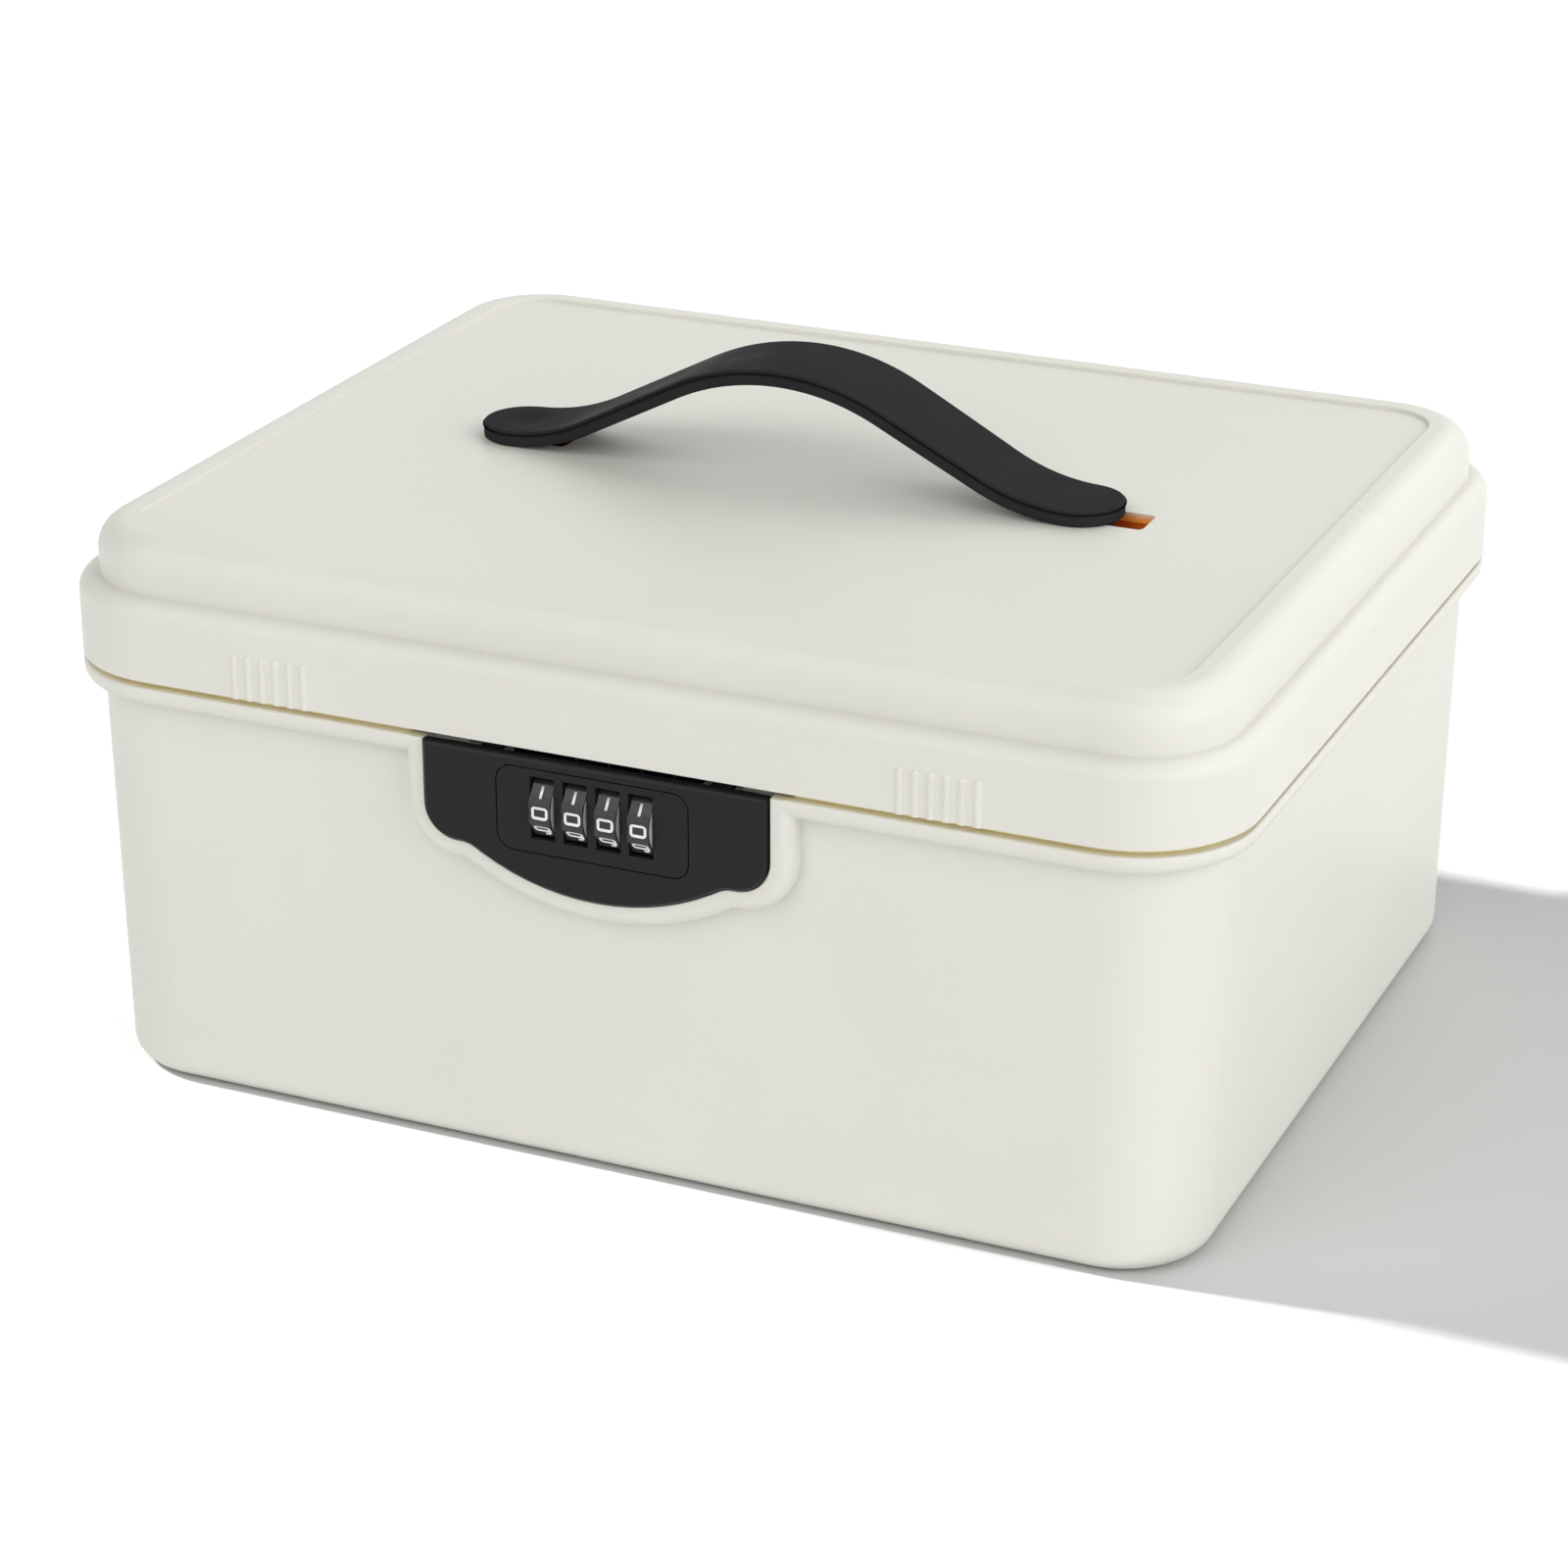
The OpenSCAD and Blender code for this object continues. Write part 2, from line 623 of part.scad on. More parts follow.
// Half the width of the strap, a little wider in the middle
function strap_hw(x) = strap_end_w / 2 + (strap_mid_w - strap_end_w) / 2 * cos(90 * x / strap_half);

module strap_plan(h) {
    steps = 12;
    xs = [for (k = [-steps : steps]) k * (strap_half + 0.5) / steps];
    linear_extrude(h) polygon([for (x = xs) [x, strap_hw(x)], for (x = xs) [-x, -strap_hw(x)]]);
    for (x = [-strap_half, strap_half]) translate([x, 0, 0]) cylinder(r = strap_end_w / 2, h = h);
}

module handle_strap() color(black) place() translate([strap_x, strap_y, 0]) {
    difference() {
        intersection() {
            difference() {
                under_strap(0, 2 * strap_mid_w);
                under_strap(strap_t, 3 * strap_mid_w);
            }
            translate([0, 0, panel_z - over]) strap_plan(strap_rise + 2 * over);
        }
        // Shallow dish over the left stud
        translate([-stud_x, 0, panel_z + strap_lift + strap_t + 29.4]) sphere(30);
    }
    for (x = [-stud_x, stud_x]) translate([x, 0, 0]) {
        translate([0, 0, panel_under - run_gap]) cylinder(r = stud_r, h = lid_wall + run_gap + 1);
        translate([0, 0, panel_under - run_gap - stud_head_t]) cylinder(r = stud_head_r, h = stud_head_t);
    }
}

module latch_plate() color(black) place() difference() {
    union() {
        front_view(plate_back) latch_form(0, plate_t, plate_edge_r, base_h);
        both_sides() {
            along_x(ear_in, ear_in + ear_w, pivot_y, pivot_z, ear_r);
            translate([ear_in, plate_back - over, pivot_z - ear_r])
                cube([ear_w, pivot_y - plate_back + over, 2 * ear_r]);
        }
    }
    translate([0, plate_front - over, 0]) bezel_block(bezel_seam, over + 1);
    translate([0, plate_front + 1 - 0.01, 0]) bezel_block(bezel_seam + 0.5, plate_t);
    plate_x(-plate_hw - over, plate_hw + over)
        translate([plate_front + plate_edge_r, base_h - plate_edge_r]) difference() {
            translate([-plate_edge_r - over, 0]) square(plate_edge_r + over);
            circle(plate_edge_r);
        }
    both_sides() {
        along_x(ear_in - over, plate_hw - 0.9, pivot_y, pivot_z, latch_pin_r + pin_fit);
        along_x(ear_in + ear_w, plate_hw - 0.9, pivot_y, pivot_z, ear_r);
        for (z = hook_screw_z) translate([arm_in + arm_w / 2, plate_back + over, z]) rotate([90, 0, 0])
            cylinder(r = hook_screw_r, h = over + 1.6);
    }
}

// The bezel's outline grown by o, from the plane of its front for a depth
module bezel_block(o, depth) translate([0, depth, 0]) rotate([90, 0, 0]) linear_extrude(depth) {
    hw = bezel_hw + o;
    hh = bezel_h / 2 + o;
    r = bezel_r + o;
    translate([0, bezel_low + bezel_h / 2]) {
        square([2 * hw, 2 * (hh - r)], center = true);
        square([2 * (hw - r), 2 * hh], center = true);
        for (x = [-1, 1], y = [-1, 1]) translate([x * (hw - r), y * (hh - r)]) circle(r);
    }
}

// Bent steel hooks screwed to the back of the plate
module latch_hooks() color(steel) place() both_sides() translate([arm_in, 0, 0]) difference() {
    union() {
        translate([0, plate_back, plate_low + 1]) cube([arm_w, bracket_t, pivot_z - plate_low]);
        translate([0, plate_back, pivot_z + 1 - arm_t]) cube([arm_w, arm_y + arm_t - plate_back, arm_t]);
        translate([0, arm_y, pivot_z + 1 - arm_t])
            cube([arm_w, arm_t, nose_z + nose_h - pivot_z - 1 + arm_t]);
        plate_x(0, arm_w) polygon([[arm_y + 0.2, nose_z], [nose_y, nose_z], [nose_y, nose_z + 1.2],
            [arm_y + 0.2, nose_z + nose_h]]);
    }
    for (z = hook_screw_z) translate([arm_w / 2, plate_back + bracket_t + over, z]) rotate([90, 0, 0])
        cylinder(r = hook_screw_r, h = bracket_t + 2 * over);
}

module hook_screws() color(steel) place() both_sides() for (z = hook_screw_z)
    translate([arm_in + arm_w / 2, plate_back - 1.5, z]) rotate([-90, 0, 0]) {
        cylinder(r = hook_screw_r, h = 1.5 + bracket_t);
        translate([0, 0, 1.5 + bracket_t]) cylinder(r = 1.6, h = 0.5);
    }

module latch_pins() color(steel) place() both_sides()
    along_x(pin_start, pin_end, pivot_y, pivot_z, latch_pin_r);

// Torsion springs that close the latch: coil, leg on the plate and leg at the pocket floor
module latch_springs() color(steel) place() both_sides() {
    x0 = ear_in + ear_w + 0.2;
    difference() {
        along_x(x0, x0 + spring_w, pivot_y, pivot_z, 2.2);
        along_x(x0 - over, x0 + spring_w + over, pivot_y, pivot_z, latch_pin_r + 0.25);
    }
    translate([x0, plate_back, pivot_z - 8]) cube([0.7, 0.7, 6.8]);
    translate([x0 + spring_w - 0.7, pocket_y - run_gap - 0.6, pivot_z - 9]) cube([0.7, 0.6, 7.4]);
}

function dial_x(i) = (i - (dial_count + 1) / 2) * dial_pitch;
function dial_left(i) = dial_x(i) - dial_w / 2;

module dial_bezel() color(black) place() difference() {
    union() {
        translate([0, plate_front, 0]) difference() {
            bezel_block(0, bezel_back - plate_front);
            translate([0, 1, 0]) difference() {
                bezel_block(over, 30);
                translate([0, -over, 0]) bezel_block(-0.4, 32);
            }
        }
        // Wings that seat behind the front wall
        translate([-bezel_hw - 2, seat_y, dial_z - 6]) cube([2 * bezel_hw + 4, 2, 12]);
        translate([-bezel_hole_x - 5, seat_y, bezel_hole_z - 3.4])
            cube([2 * bezel_hole_x + 10, 2, bezel_low + 1.6 - bezel_hole_z + 3.4]);
    }
    // Room for the dials, open to the back, and for the comb above them
    translate([-bezel_room, plate_front + bezel_wall, dial_z - dial_bar_r - 0.5])
        cube([2 * bezel_room, 30, 2 * dial_bar_r + 1]);
    translate([-bezel_room, dial_y + 2.4, dial_z]) cube([2 * bezel_room, 30, bezel_h]);
    for (i = [1 : dial_count])
        translate([dial_x(i) - window_w / 2, plate_front - over, dial_z - window_h / 2 + 0.5])
            cube([window_w, bezel_wall + 2 * over, window_h]);
    along_x(-bezel_hw - over, bezel_hw + over, dial_y, dial_z, spindle_r);
    both_sides() translate([bezel_hole_x, seat_y - over, bezel_hole_z]) rotate([-90, 0, 0])
        cylinder(r = screw_r, h = 4);
}

module screw(y, z, length) translate([0, y, z]) rotate([90, 0, 0]) {
    cylinder(r = screw_r, h = length);
    translate([0, 0, -head_t]) difference() {
        cylinder(r = head_r, h = head_t);
        translate([0, 0, -0.01]) for (a = [0, 90]) rotate(a) translate([-1.5, -0.3, 0]) cube([3, 0.6, 0.7]);
    }
}

module bezel_screws() color(steel) place() both_sides() translate([bezel_hole_x, 0, 0])
    screw(seat_y + 2, bezel_hole_z, 4.6);

// Ten hollow number faces with bars between them; number 0 faces the front
module dial(i) color(black) place() translate([dial_left(i), dial_y, dial_z]) rotate([0, 90, 0])
difference() {
    cylinder(r = dial_bar_r, h = dial_w);
    for (k = [0 : 9]) rotate(k * 36 + 18) translate([dial_face_r + scallop_r, 0, -over])
        cylinder(r = scallop_r, h = dial_w + 2 * over);
    translate([0, 0, -over]) cylinder(r = sleeve_hub_r, h = dial_w + 2 * over);
    translate([0, 0, dial_w - sleeve_t]) cylinder(r = sleeve_r, h = sleeve_t + over);
}

// Grey sleeve: hub in the dial, disc flush with its side, and a cam with the notch for the comb
module dial_sleeve(i) color(grey) place() translate([dial_left(i), dial_y, dial_z]) difference() {
    union() {
        along_x(0, dial_w, 0, 0, sleeve_hub_r);
        along_x(dial_w - sleeve_t, dial_w, 0, 0, sleeve_r);
        along_x(dial_w - 0.01, dial_w + cam_w, 0, 0, cam_r);
    }
    along_x(-over, dial_w + cam_w + over, 0, 0, spindle_r + pin_fit);
    translate([dial_w, notch, notch]) cube([cam_w + over, cam_r, cam_r]);
}

module dial_1() dial(1);
module dial_2() dial(2);
module dial_3() dial(3);
module dial_4() dial(4);
module dial_sleeve_1() dial_sleeve(1);
module dial_sleeve_2() dial_sleeve(2);
module dial_sleeve_3() dial_sleeve(3);
module dial_sleeve_4() dial_sleeve(4);

module dial_spindle() color(steel) place()
    along_x(-bezel_hw + 0.4, bezel_hw - 0.4, dial_y, dial_z, spindle_r);

// Collars that keep the dials in the middle of the spindle
module spindle_clips() color(steel) place() both_sides() difference() {
    along_x(bezel_room - clip_t, bezel_room, dial_y, dial_z, 2.8);
    along_x(bezel_room - clip_t - over, bezel_room + over, dial_y, dial_z, spindle_r);
}

// Leaf with one finger under each dial
module detent_spring() color(steel) place() translate([0, dial_y, dial_z - dial_bar_r - 0.5]) {
    for (i = [1 : dial_count]) translate([dial_x(i) - 1.6, -4.7, 0]) cube([3.2, 8.2, 0.3]);
    translate([-bezel_room, 3, 0]) cube([2 * bezel_room, 2.4, 0.3]);
}

// Comb on the hook arms, with a tooth over the cam of each dial
module locking_comb() color(steel) place() {
    both_sides() translate([arm_in, arm_y + arm_t, comb_z])
        cube([arm_w, comb_y - arm_y - arm_t + 0.01, comb_t]);
    translate([-arm_in - arm_w, comb_y, comb_z]) cube([2 * (arm_in + arm_w), tooth_t, comb_t]);
    for (i = [1 : dial_count]) translate([dial_left(i) + dial_w + run_gap, tooth_y, tooth_low])
        cube([tooth_w, comb_y - tooth_y + 0.5, comb_z + comb_t - tooth_low]);
}

module lock_cover() color(black) place() difference() {
    union() {
        translate([-cover_hw + cover_flange, cover_y, cover_low + 1])
            cube([2 * (cover_hw - cover_flange), cover_back - cover_y, cover_top - cover_low - 1]);
        for (z = cover_holes_z) translate([-cover_hw, cover_y, z - 4]) cube([2 * cover_hw, 2, 8]);
    }
    translate([-cover_hw + cover_flange + cover_wall, cover_y - over, cover_low + 1 + cover_wall])
        cube([2 * (cover_hw - cover_flange - cover_wall), cover_back - cover_y - cover_wall + over,
            cover_top - cover_low - 1 - 2 * cover_wall]);
    both_sides() {
        for (z = cover_holes_z) translate([cover_hole_x, cover_y - over, z]) rotate([-90, 0, 0])
            cylinder(r = screw_r, h = 4);
        // Room for the hooks when they swing back
        translate([arm_in - 0.6, cover_y - over, cover_top - cover_wall - 1])
            cube([arm_w + 1.2, hook_room_y - cover_y + over, 4]);
    }
    translate([-slider_slot / 2, cover_back - cover_wall - over, dial_z - 2])
        cube([slider_slot, cover_wall + 2 * over, 4]);
}

module cover_screws() color(steel) place() both_sides() for (z = cover_holes_z)
    translate([cover_hole_x, 0, 0]) screw(cover_y + 2, z, 4.8);

// Slider on the cover for setting a new code
module reset_slider() color(black) place() translate([-slider_slot / 2 + run_gap, 0, dial_z]) {
    translate([0, cover_back - cover_wall - 1.3, -2 + run_gap])
        cube([slider_w, cover_wall + 2.4, 4 - 2 * run_gap]);
    translate([-1, cover_back - cover_wall - 1.3, -3.5]) cube([slider_w + 2, 1, 7]);
    difference() {
        translate([-1, cover_back + run_gap, -3]) cube([slider_w + 2, 1.8, 6]);
        for (k = [-1, 0, 1]) translate([slider_w / 2 + k * 2 - 0.3, cover_back + 1.5, -4]) cube([0.6, 2, 8]);
    }
}

// Strike inside the skirt, with the lip that the hooks stand behind
module lid_strike() color(black) place() difference() {
    union() {
        translate([-strike_hw, front_y + lid_wall + boss_t, strike_z])
            cube([2 * strike_hw, strike_t, strike_h]);
        translate([-strike_hw, front_y + lid_wall + 0.1, strike_z])
            cube([2 * strike_hw, strike_lip - front_y - lid_wall - 0.1, 1.4]);
    }
    both_sides() translate([strike_hole_x, front_y + lid_wall, strike_hole_z]) rotate([-90, 0, 0])
        cylinder(r = screw_r, h = 6);
}

module strike_screws() color(steel) place() both_sides() translate([strike_hole_x, 0, 0])
    screw(front_y + lid_wall + boss_t + strike_t, strike_hole_z, strike_t + boss_t + lid_wall - 1);

base_shell();
lid_shell();
handle_strap();
hinge_pins();
latch_plate();
latch_hooks();
hook_screws();
latch_pins();
latch_springs();
dial_bezel();
bezel_screws();
dial_1();
dial_2();
dial_3();
dial_4();
dial_sleeve_1();
dial_sleeve_2();
dial_sleeve_3();
dial_sleeve_4();
dial_spindle();
spindle_clips();
detent_spring();
locking_comb();
lock_cover();
cover_screws();
reset_slider();
lid_strike();
strike_screws();
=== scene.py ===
import json
import math

import bmesh
import bpy
from bpy.props import FloatProperty, FloatVectorProperty, PointerProperty
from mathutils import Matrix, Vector


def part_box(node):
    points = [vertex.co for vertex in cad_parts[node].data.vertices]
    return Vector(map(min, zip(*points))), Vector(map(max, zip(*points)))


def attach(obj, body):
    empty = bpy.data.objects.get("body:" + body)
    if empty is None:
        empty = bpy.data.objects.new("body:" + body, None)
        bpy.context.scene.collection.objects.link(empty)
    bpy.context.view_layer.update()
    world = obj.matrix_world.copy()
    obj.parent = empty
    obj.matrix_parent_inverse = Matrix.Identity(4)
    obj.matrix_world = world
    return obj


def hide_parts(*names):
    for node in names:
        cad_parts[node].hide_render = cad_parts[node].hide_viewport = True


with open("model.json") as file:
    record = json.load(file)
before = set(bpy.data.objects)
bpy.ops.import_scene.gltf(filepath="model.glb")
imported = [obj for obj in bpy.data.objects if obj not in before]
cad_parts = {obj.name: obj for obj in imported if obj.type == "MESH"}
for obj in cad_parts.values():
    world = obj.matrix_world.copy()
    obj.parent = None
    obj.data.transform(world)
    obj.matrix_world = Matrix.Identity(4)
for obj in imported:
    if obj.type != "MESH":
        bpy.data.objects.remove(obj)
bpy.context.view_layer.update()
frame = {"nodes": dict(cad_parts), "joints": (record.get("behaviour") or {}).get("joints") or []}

bl_info = {
    "name": "Lockable medicine case",
    "version": (1, 0, 0),
    "blender": (4, 5, 0),
    "location": "View3D > Sidebar > Medicine case",
    "description": "Moulded finishes, dial numbers and a studio stage for a latched case",
    "category": "Object",
}

MM = 0.001
# Distance from a dial's axis to the middle of a number's face, and the hollow face's own radius
FACE_R = 7.9 * MM
HOLLOW_R = 7.0 * MM
# Depth of the sunk panel on top of the lid
PANEL_SINK = 1.0 * MM
# Radius of the upright corners of the flange
CORNER_R = 29.5 * MM
# Height of the dust rim over the flange of the base
RIM_H = 5.0 * MM
# Half the width of the handle's wells, and where they begin and end from the middle of the lid
WELL_HALF = 9.2 * MM
WELL_ENDS = (59 * MM, 92.7 * MM)
# Depths under the panel at which the painted warm glow on a well's walls begins, is full, fades
# and ends
WELL_DEPTHS = (0.1 * MM, 1.6 * MM, 5.7 * MM, 5.9 * MM)
# Width over which the edge of a painted glow fades
PAINTED_GLOW_SOFT = 0.1 * MM
# The strip of the flange with painted warm seam light: how far in from its edge, how soft, and how
# high
STRIP_IN = (3.8 * MM, 2.2 * MM)
STRIP_SOFT = 1.6 * MM
STRIP_HEIGHTS = (-0.06 * MM, 0.8 * MM)
# The strap's groove: from the round edge down to its upper side, its middle and its lower side
GROOVE_DEPTHS = (0.12 * MM, 0.27 * MM, 0.42 * MM)
# Radius of the thumb dish
DISH_R = 8 * MM
# Cuts that let the strap bend: pieces along it, and rows either side of its middle
STRAP_PIECES = 150
STRAP_ROWS = 6
STRAP_ROW = 1.6 * MM
# Studs: radius and height of the head, radius of the shank, and the soft edge
HEAD_R, HEAD_H = 8.5 * MM, 2.4 * MM
SHANK_R = 5 * MM
STUD_EDGE = 0.4 * MM
STUD_OVERLAP = 0.1 * MM
# Radius at the corners of a number's strokes
STROKE_TURN_R = 0.55 * MM
# Directions from the case to the lamps
BACK_LAMP = (0.3, 1, 1.05)
SIDE_LAMP = (1, -0.12, 0.2)
FRONT_LAMP = (-0.3, -1, 0.85)
SHADOW_LAMP = (-1, -0.11, 0.95)
# Place of the camera in metres, and its turns down and round in radians
CAMERA_PLACE = (0.399461, -0.920233, 0.483421)
CAMERA_DOWN, CAMERA_ROUND = 0.403, 0.416
NODES = frame["nodes"]
JOINTS = {joint["name"]: joint for joint in frame["joints"]}
DIALS = ("first", "second", "third", "fourth")


def node_box(name):
    """Lowest and highest corner of a solid, in metres."""
    low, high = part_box(name)
    return Vector(low), Vector(high)


class CaseColours(bpy.types.PropertyGroup):
    """Colours of the mouldings"""
    cream: FloatVectorProperty(
        name="Cream", description="Colour of the base and the lid", subtype="COLOR",
        default=(0.735, 0.728, 0.665), min=0, max=1)
    # Painted glow: orange light through the slot walls, painted into the cream's colour
    painted_slot_glow: FloatVectorProperty(
        name="Glow", description="Colour of light that comes through the edges of the slots",
        subtype="COLOR", default=(1.0, 0.43, 0.075), min=0, max=1)
    # Painted light: the warm light deep in the seam, painted into the flange's colour
    painted_seam_glow: FloatVectorProperty(
        name="Seam glow", description="Colour of light deep in the seam under the lid",
        subtype="COLOR", default=(1.0, 0.86, 0.47), min=0, max=1)
    strap: FloatVectorProperty(
        name="Strap", description="Colour of the handle", subtype="COLOR",
        default=(0.0265, 0.0275, 0.0285), min=0, max=1)
    lock: FloatVectorProperty(
        name="Lock", description="Colour of the latch plate and its bezel", subtype="COLOR",
        default=(0.0142, 0.0147, 0.0151), min=0, max=1)
    dial: FloatVectorProperty(
        name="Dials", description="Colour of the number dials", subtype="COLOR",
        default=(0.024, 0.0255, 0.0275), min=0, max=1)
    disc: FloatVectorProperty(
        name="Side discs", description="Colour of the disc beside each dial", subtype="COLOR",
        default=(0.52, 0.53, 0.54), min=0, max=1)
    number: FloatVectorProperty(
        name="Numbers", description="Colour of the printed numbers", subtype="COLOR",
        default=(0.86, 0.87, 0.88), min=0, max=1)
    steel: FloatVectorProperty(
        name="Steel", description="Colour of pins, screws, springs and hooks", subtype="COLOR",
        default=(0.56, 0.56, 0.57), min=0, max=1)


class StrapSizes(bpy.types.PropertyGroup):
    """Sizes of the handle strap"""
    half: FloatProperty(
        name="Half length", description="From the middle to the centre of a round end",
        default=75 * MM, min=72 * MM, max=76 * MM, unit="LENGTH", precision=4)
    end_width: FloatProperty(
        name="End width", description="Width at the ends",
        default=22.4 * MM, min=20 * MM, max=26 * MM, unit="LENGTH", precision=4)
    middle_width: FloatProperty(
        name="Middle width", description="Width in the middle",
        default=27.2 * MM, min=24 * MM, max=32 * MM, unit="LENGTH", precision=4)
    thickness: FloatProperty(
        name="Thickness", description="Thickness of the strap",
        default=3.9 * MM, min=3 * MM, max=5 * MM, unit="LENGTH", precision=4)
    rise: FloatProperty(
        name="Rise", description="Height of the crest over the panel of the lid",
        default=30 * MM, min=26 * MM, max=34 * MM, unit="LENGTH", precision=4)
    crest: FloatProperty(
        name="Crest radius", description="Radius of the top face at the crest",
        default=61.5 * MM, min=54 * MM, max=66 * MM, unit="LENGTH", precision=4)
    heel: FloatProperty(
        name="Heel radius", description="Radius where the top face flattens out to the ends",
        default=50 * MM, min=44 * MM, max=56 * MM, unit="LENGTH", precision=4)
    slope: FloatProperty(
        name="Slope", description="Steepest angle of the strap",
        default=math.radians(27.5), min=math.radians(25), max=math.radians(30), unit="ROTATION")
    lift: FloatProperty(
        name="Lift", description="Gap between the ends and the panel",
        default=0.15 * MM, min=0.1 * MM, max=0.3 * MM, unit="LENGTH", precision=5)
    edge: FloatProperty(
        name="Edge radius", description="Radius along the edges of the strap",
        default=0.55 * MM, min=0.2 * MM, max=1 * MM, unit="LENGTH", precision=5)
    groove: FloatProperty(
        name="Groove", description="Depth of the fine groove under the upper edge",
        default=0.22 * MM, min=0.05 * MM, max=0.4 * MM, unit="LENGTH", precision=5)
    dish: FloatProperty(
        name="Dish", description="Depth of the thumb dish over the left stud",
        default=0.6 * MM, min=0.2 * MM, max=0.8 * MM, unit="LENGTH", precision=5)


class NumberSizes(bpy.types.PropertyGroup):
    """Sizes of the numbers on the dials"""
    width: FloatProperty(
        name="Width", description="Width of a number between the middles of its strokes",
        default=3.55 * MM, min=2 * MM, max=4 * MM, unit="LENGTH", precision=5)
    height: FloatProperty(
        name="Height", description="Height of a number between the middles of its strokes",
        default=2.5 * MM, min=2 * MM, max=3.6 * MM, unit="LENGTH", precision=5)
    stroke: FloatProperty(
        name="Stroke", description="Width of a stroke",
        default=0.68 * MM, min=0.3 * MM, max=0.9 * MM, unit="LENGTH", precision=5)
    relief: FloatProperty(
        name="Relief", description="How far a stroke stands out of its face",
        default=0.06 * MM, min=0.02 * MM, max=0.12 * MM, unit="LENGTH", precision=5)


class StageSettings(bpy.types.PropertyGroup):
    """Floor, light and camera"""
    floor: FloatVectorProperty(
        name="Floor", description="Colour of the floor as it is seen",
        subtype="COLOR", default=(0.585, 0.585, 0.585), min=0, max=1)
    floor_bounce: FloatVectorProperty(
        name="Floor bounce", description="Colour of the floor in the light that it throws back",
        subtype="COLOR", default=(0.47, 0.47, 0.47), min=0, max=1)
    world: FloatProperty(
        name="World light", description="Strength of the even light from all round",
        default=0.27, min=0, max=2)
    back: FloatProperty(
        name="Back light", description="Strength of the large soft lamp behind and over the case",
        default=1.0, min=0, max=5)
    side: FloatProperty(
        name="Side light", description="Strength of the lamp on the right wall",
        default=2.42, min=0, max=5)
    front: FloatProperty(
        name="Front light", description="Strength of the lamp on the front wall",
        default=1.32, min=0, max=5)
    shadow: FloatProperty(
        name="Shadow light", description="Strength of the lamp that throws the floor's shadow",
        default=4.6, min=0, max=8)
    lens: FloatProperty(
        name="Lens", description="Focal length of the camera in millimetres",
        default=96.82, min=20, max=200)


class Finish:
    """A material on the principled shader, with its nodes fed by object coordinates."""

    def __init__(self, name, colour, roughness, **sockets):
        self.material = bpy.data.materials.new(name)
        self.material.use_nodes = True
        self.tree = self.material.node_tree
        self.shader = self.tree.nodes["Principled BSDF"]
        self.colour = (*colour, 1.0)
        self.shader.inputs["Roughness"].default_value = roughness
        for socket, value in sockets.items():
            self.shader.inputs[socket.replace("_", " ")].default_value = value
        self.place = self.add("ShaderNodeTexCoord").outputs["Object"]

    def add(self, kind, **values):
        node = self.tree.nodes.new(kind)
        for key, value in values.items():
            setattr(node, key, value)
        return node

    def join(self, source, target):
        self.tree.links.new(source, target)

    def noise(self, size, detail=2.0, stretch=(1, 1, 1)):
        """Noise whose blotches are about size metres wide."""
        mapping = self.add("ShaderNodeMapping")
        mapping.inputs["Scale"].default_value = stretch
        self.join(self.place, mapping.inputs["Vector"])
        noise = self.add("ShaderNodeTexNoise")
        noise.inputs["Scale"].default_value = 1 / size
        noise.inputs["Detail"].default_value = detail
        self.join(mapping.outputs["Vector"], noise.inputs["Vector"])
        return noise.outputs["Fac"]

    def ramp(self, value, low, high, out_low, out_high):
        node = self.add("ShaderNodeMapRange", clamp=True)
        for socket, number in zip(("From Min", "From Max", "To Min", "To Max"),
                                  (low, high, out_low, out_high)):
            node.inputs[socket].default_value = number
        self.join(value, node.inputs["Value"])
        return node.outputs["Result"]

    def math(self, operation, first, second):
        node = self.add("ShaderNodeMath", operation=operation)
        for socket, value in zip(node.inputs, (first, second)):
            if isinstance(value, (int, float)):
                socket.default_value = value
            else:
                self.join(value, socket)
        return node.outputs["Value"]

    def mix(self, share, first, second):
        node = self.add("ShaderNodeMix", data_type="RGBA")
        for socket, value in zip((node.inputs["Factor"], node.inputs[6], node.inputs[7]),
                                 (share, first, second)):
            if isinstance(value, bpy.types.NodeSocket):
                self.join(value, socket)
            else:
                socket.default_value = value
        return node.outputs[2]

    def shade(self, share):
        """The finish's own colour, taken darker by a share."""
        return tuple(c * (1 - share) for c in self.colour[:3]) + (1.0,)

    def mottle(self, size, share, low=0.35, high=0.65):
        """A faint cloudiness in the colour."""
        cloud = self.ramp(self.noise(size, 3.0), low, high, 0, 1)
        return self.mix(cloud, self.shade(share), self.colour)

    def uneven(self, size, low, high):
        self.join(self.ramp(self.noise(size, 4.0), 0.3, 0.7, low, high),
                  self.shader.inputs["Roughness"])

    def grain(self, layers):
        """Bump from several noises: pairs of size, depth and stretch, all lengths in metres."""
        last = None
        for size, depth, stretch in layers:
            bump = self.add("ShaderNodeBump")
            bump.inputs["Strength"].default_value = 1.0
            bump.inputs["Distance"].default_value = depth
            self.join(self.noise(size, 2.0, stretch), bump.inputs["Height"])
            if last:
                self.join(last, bump.inputs["Normal"])
            last = bump.outputs["Normal"]
        self.join(last, self.shader.inputs["Normal"])

    def paint(self, colour):
        self.join(colour, self.shader.inputs["Base Color"])
        return self.material


EVEN = (1, 1, 1)


def band(finish, value, low, high, soft):
    """1 where a coordinate lies between low and high, with soft edges."""
    rise = finish.ramp(value, low - soft, low, 0, 1)
    fall = finish.ramp(value, high, high + soft, 1, 0)
    return finish.math("MULTIPLY", rise, fall)


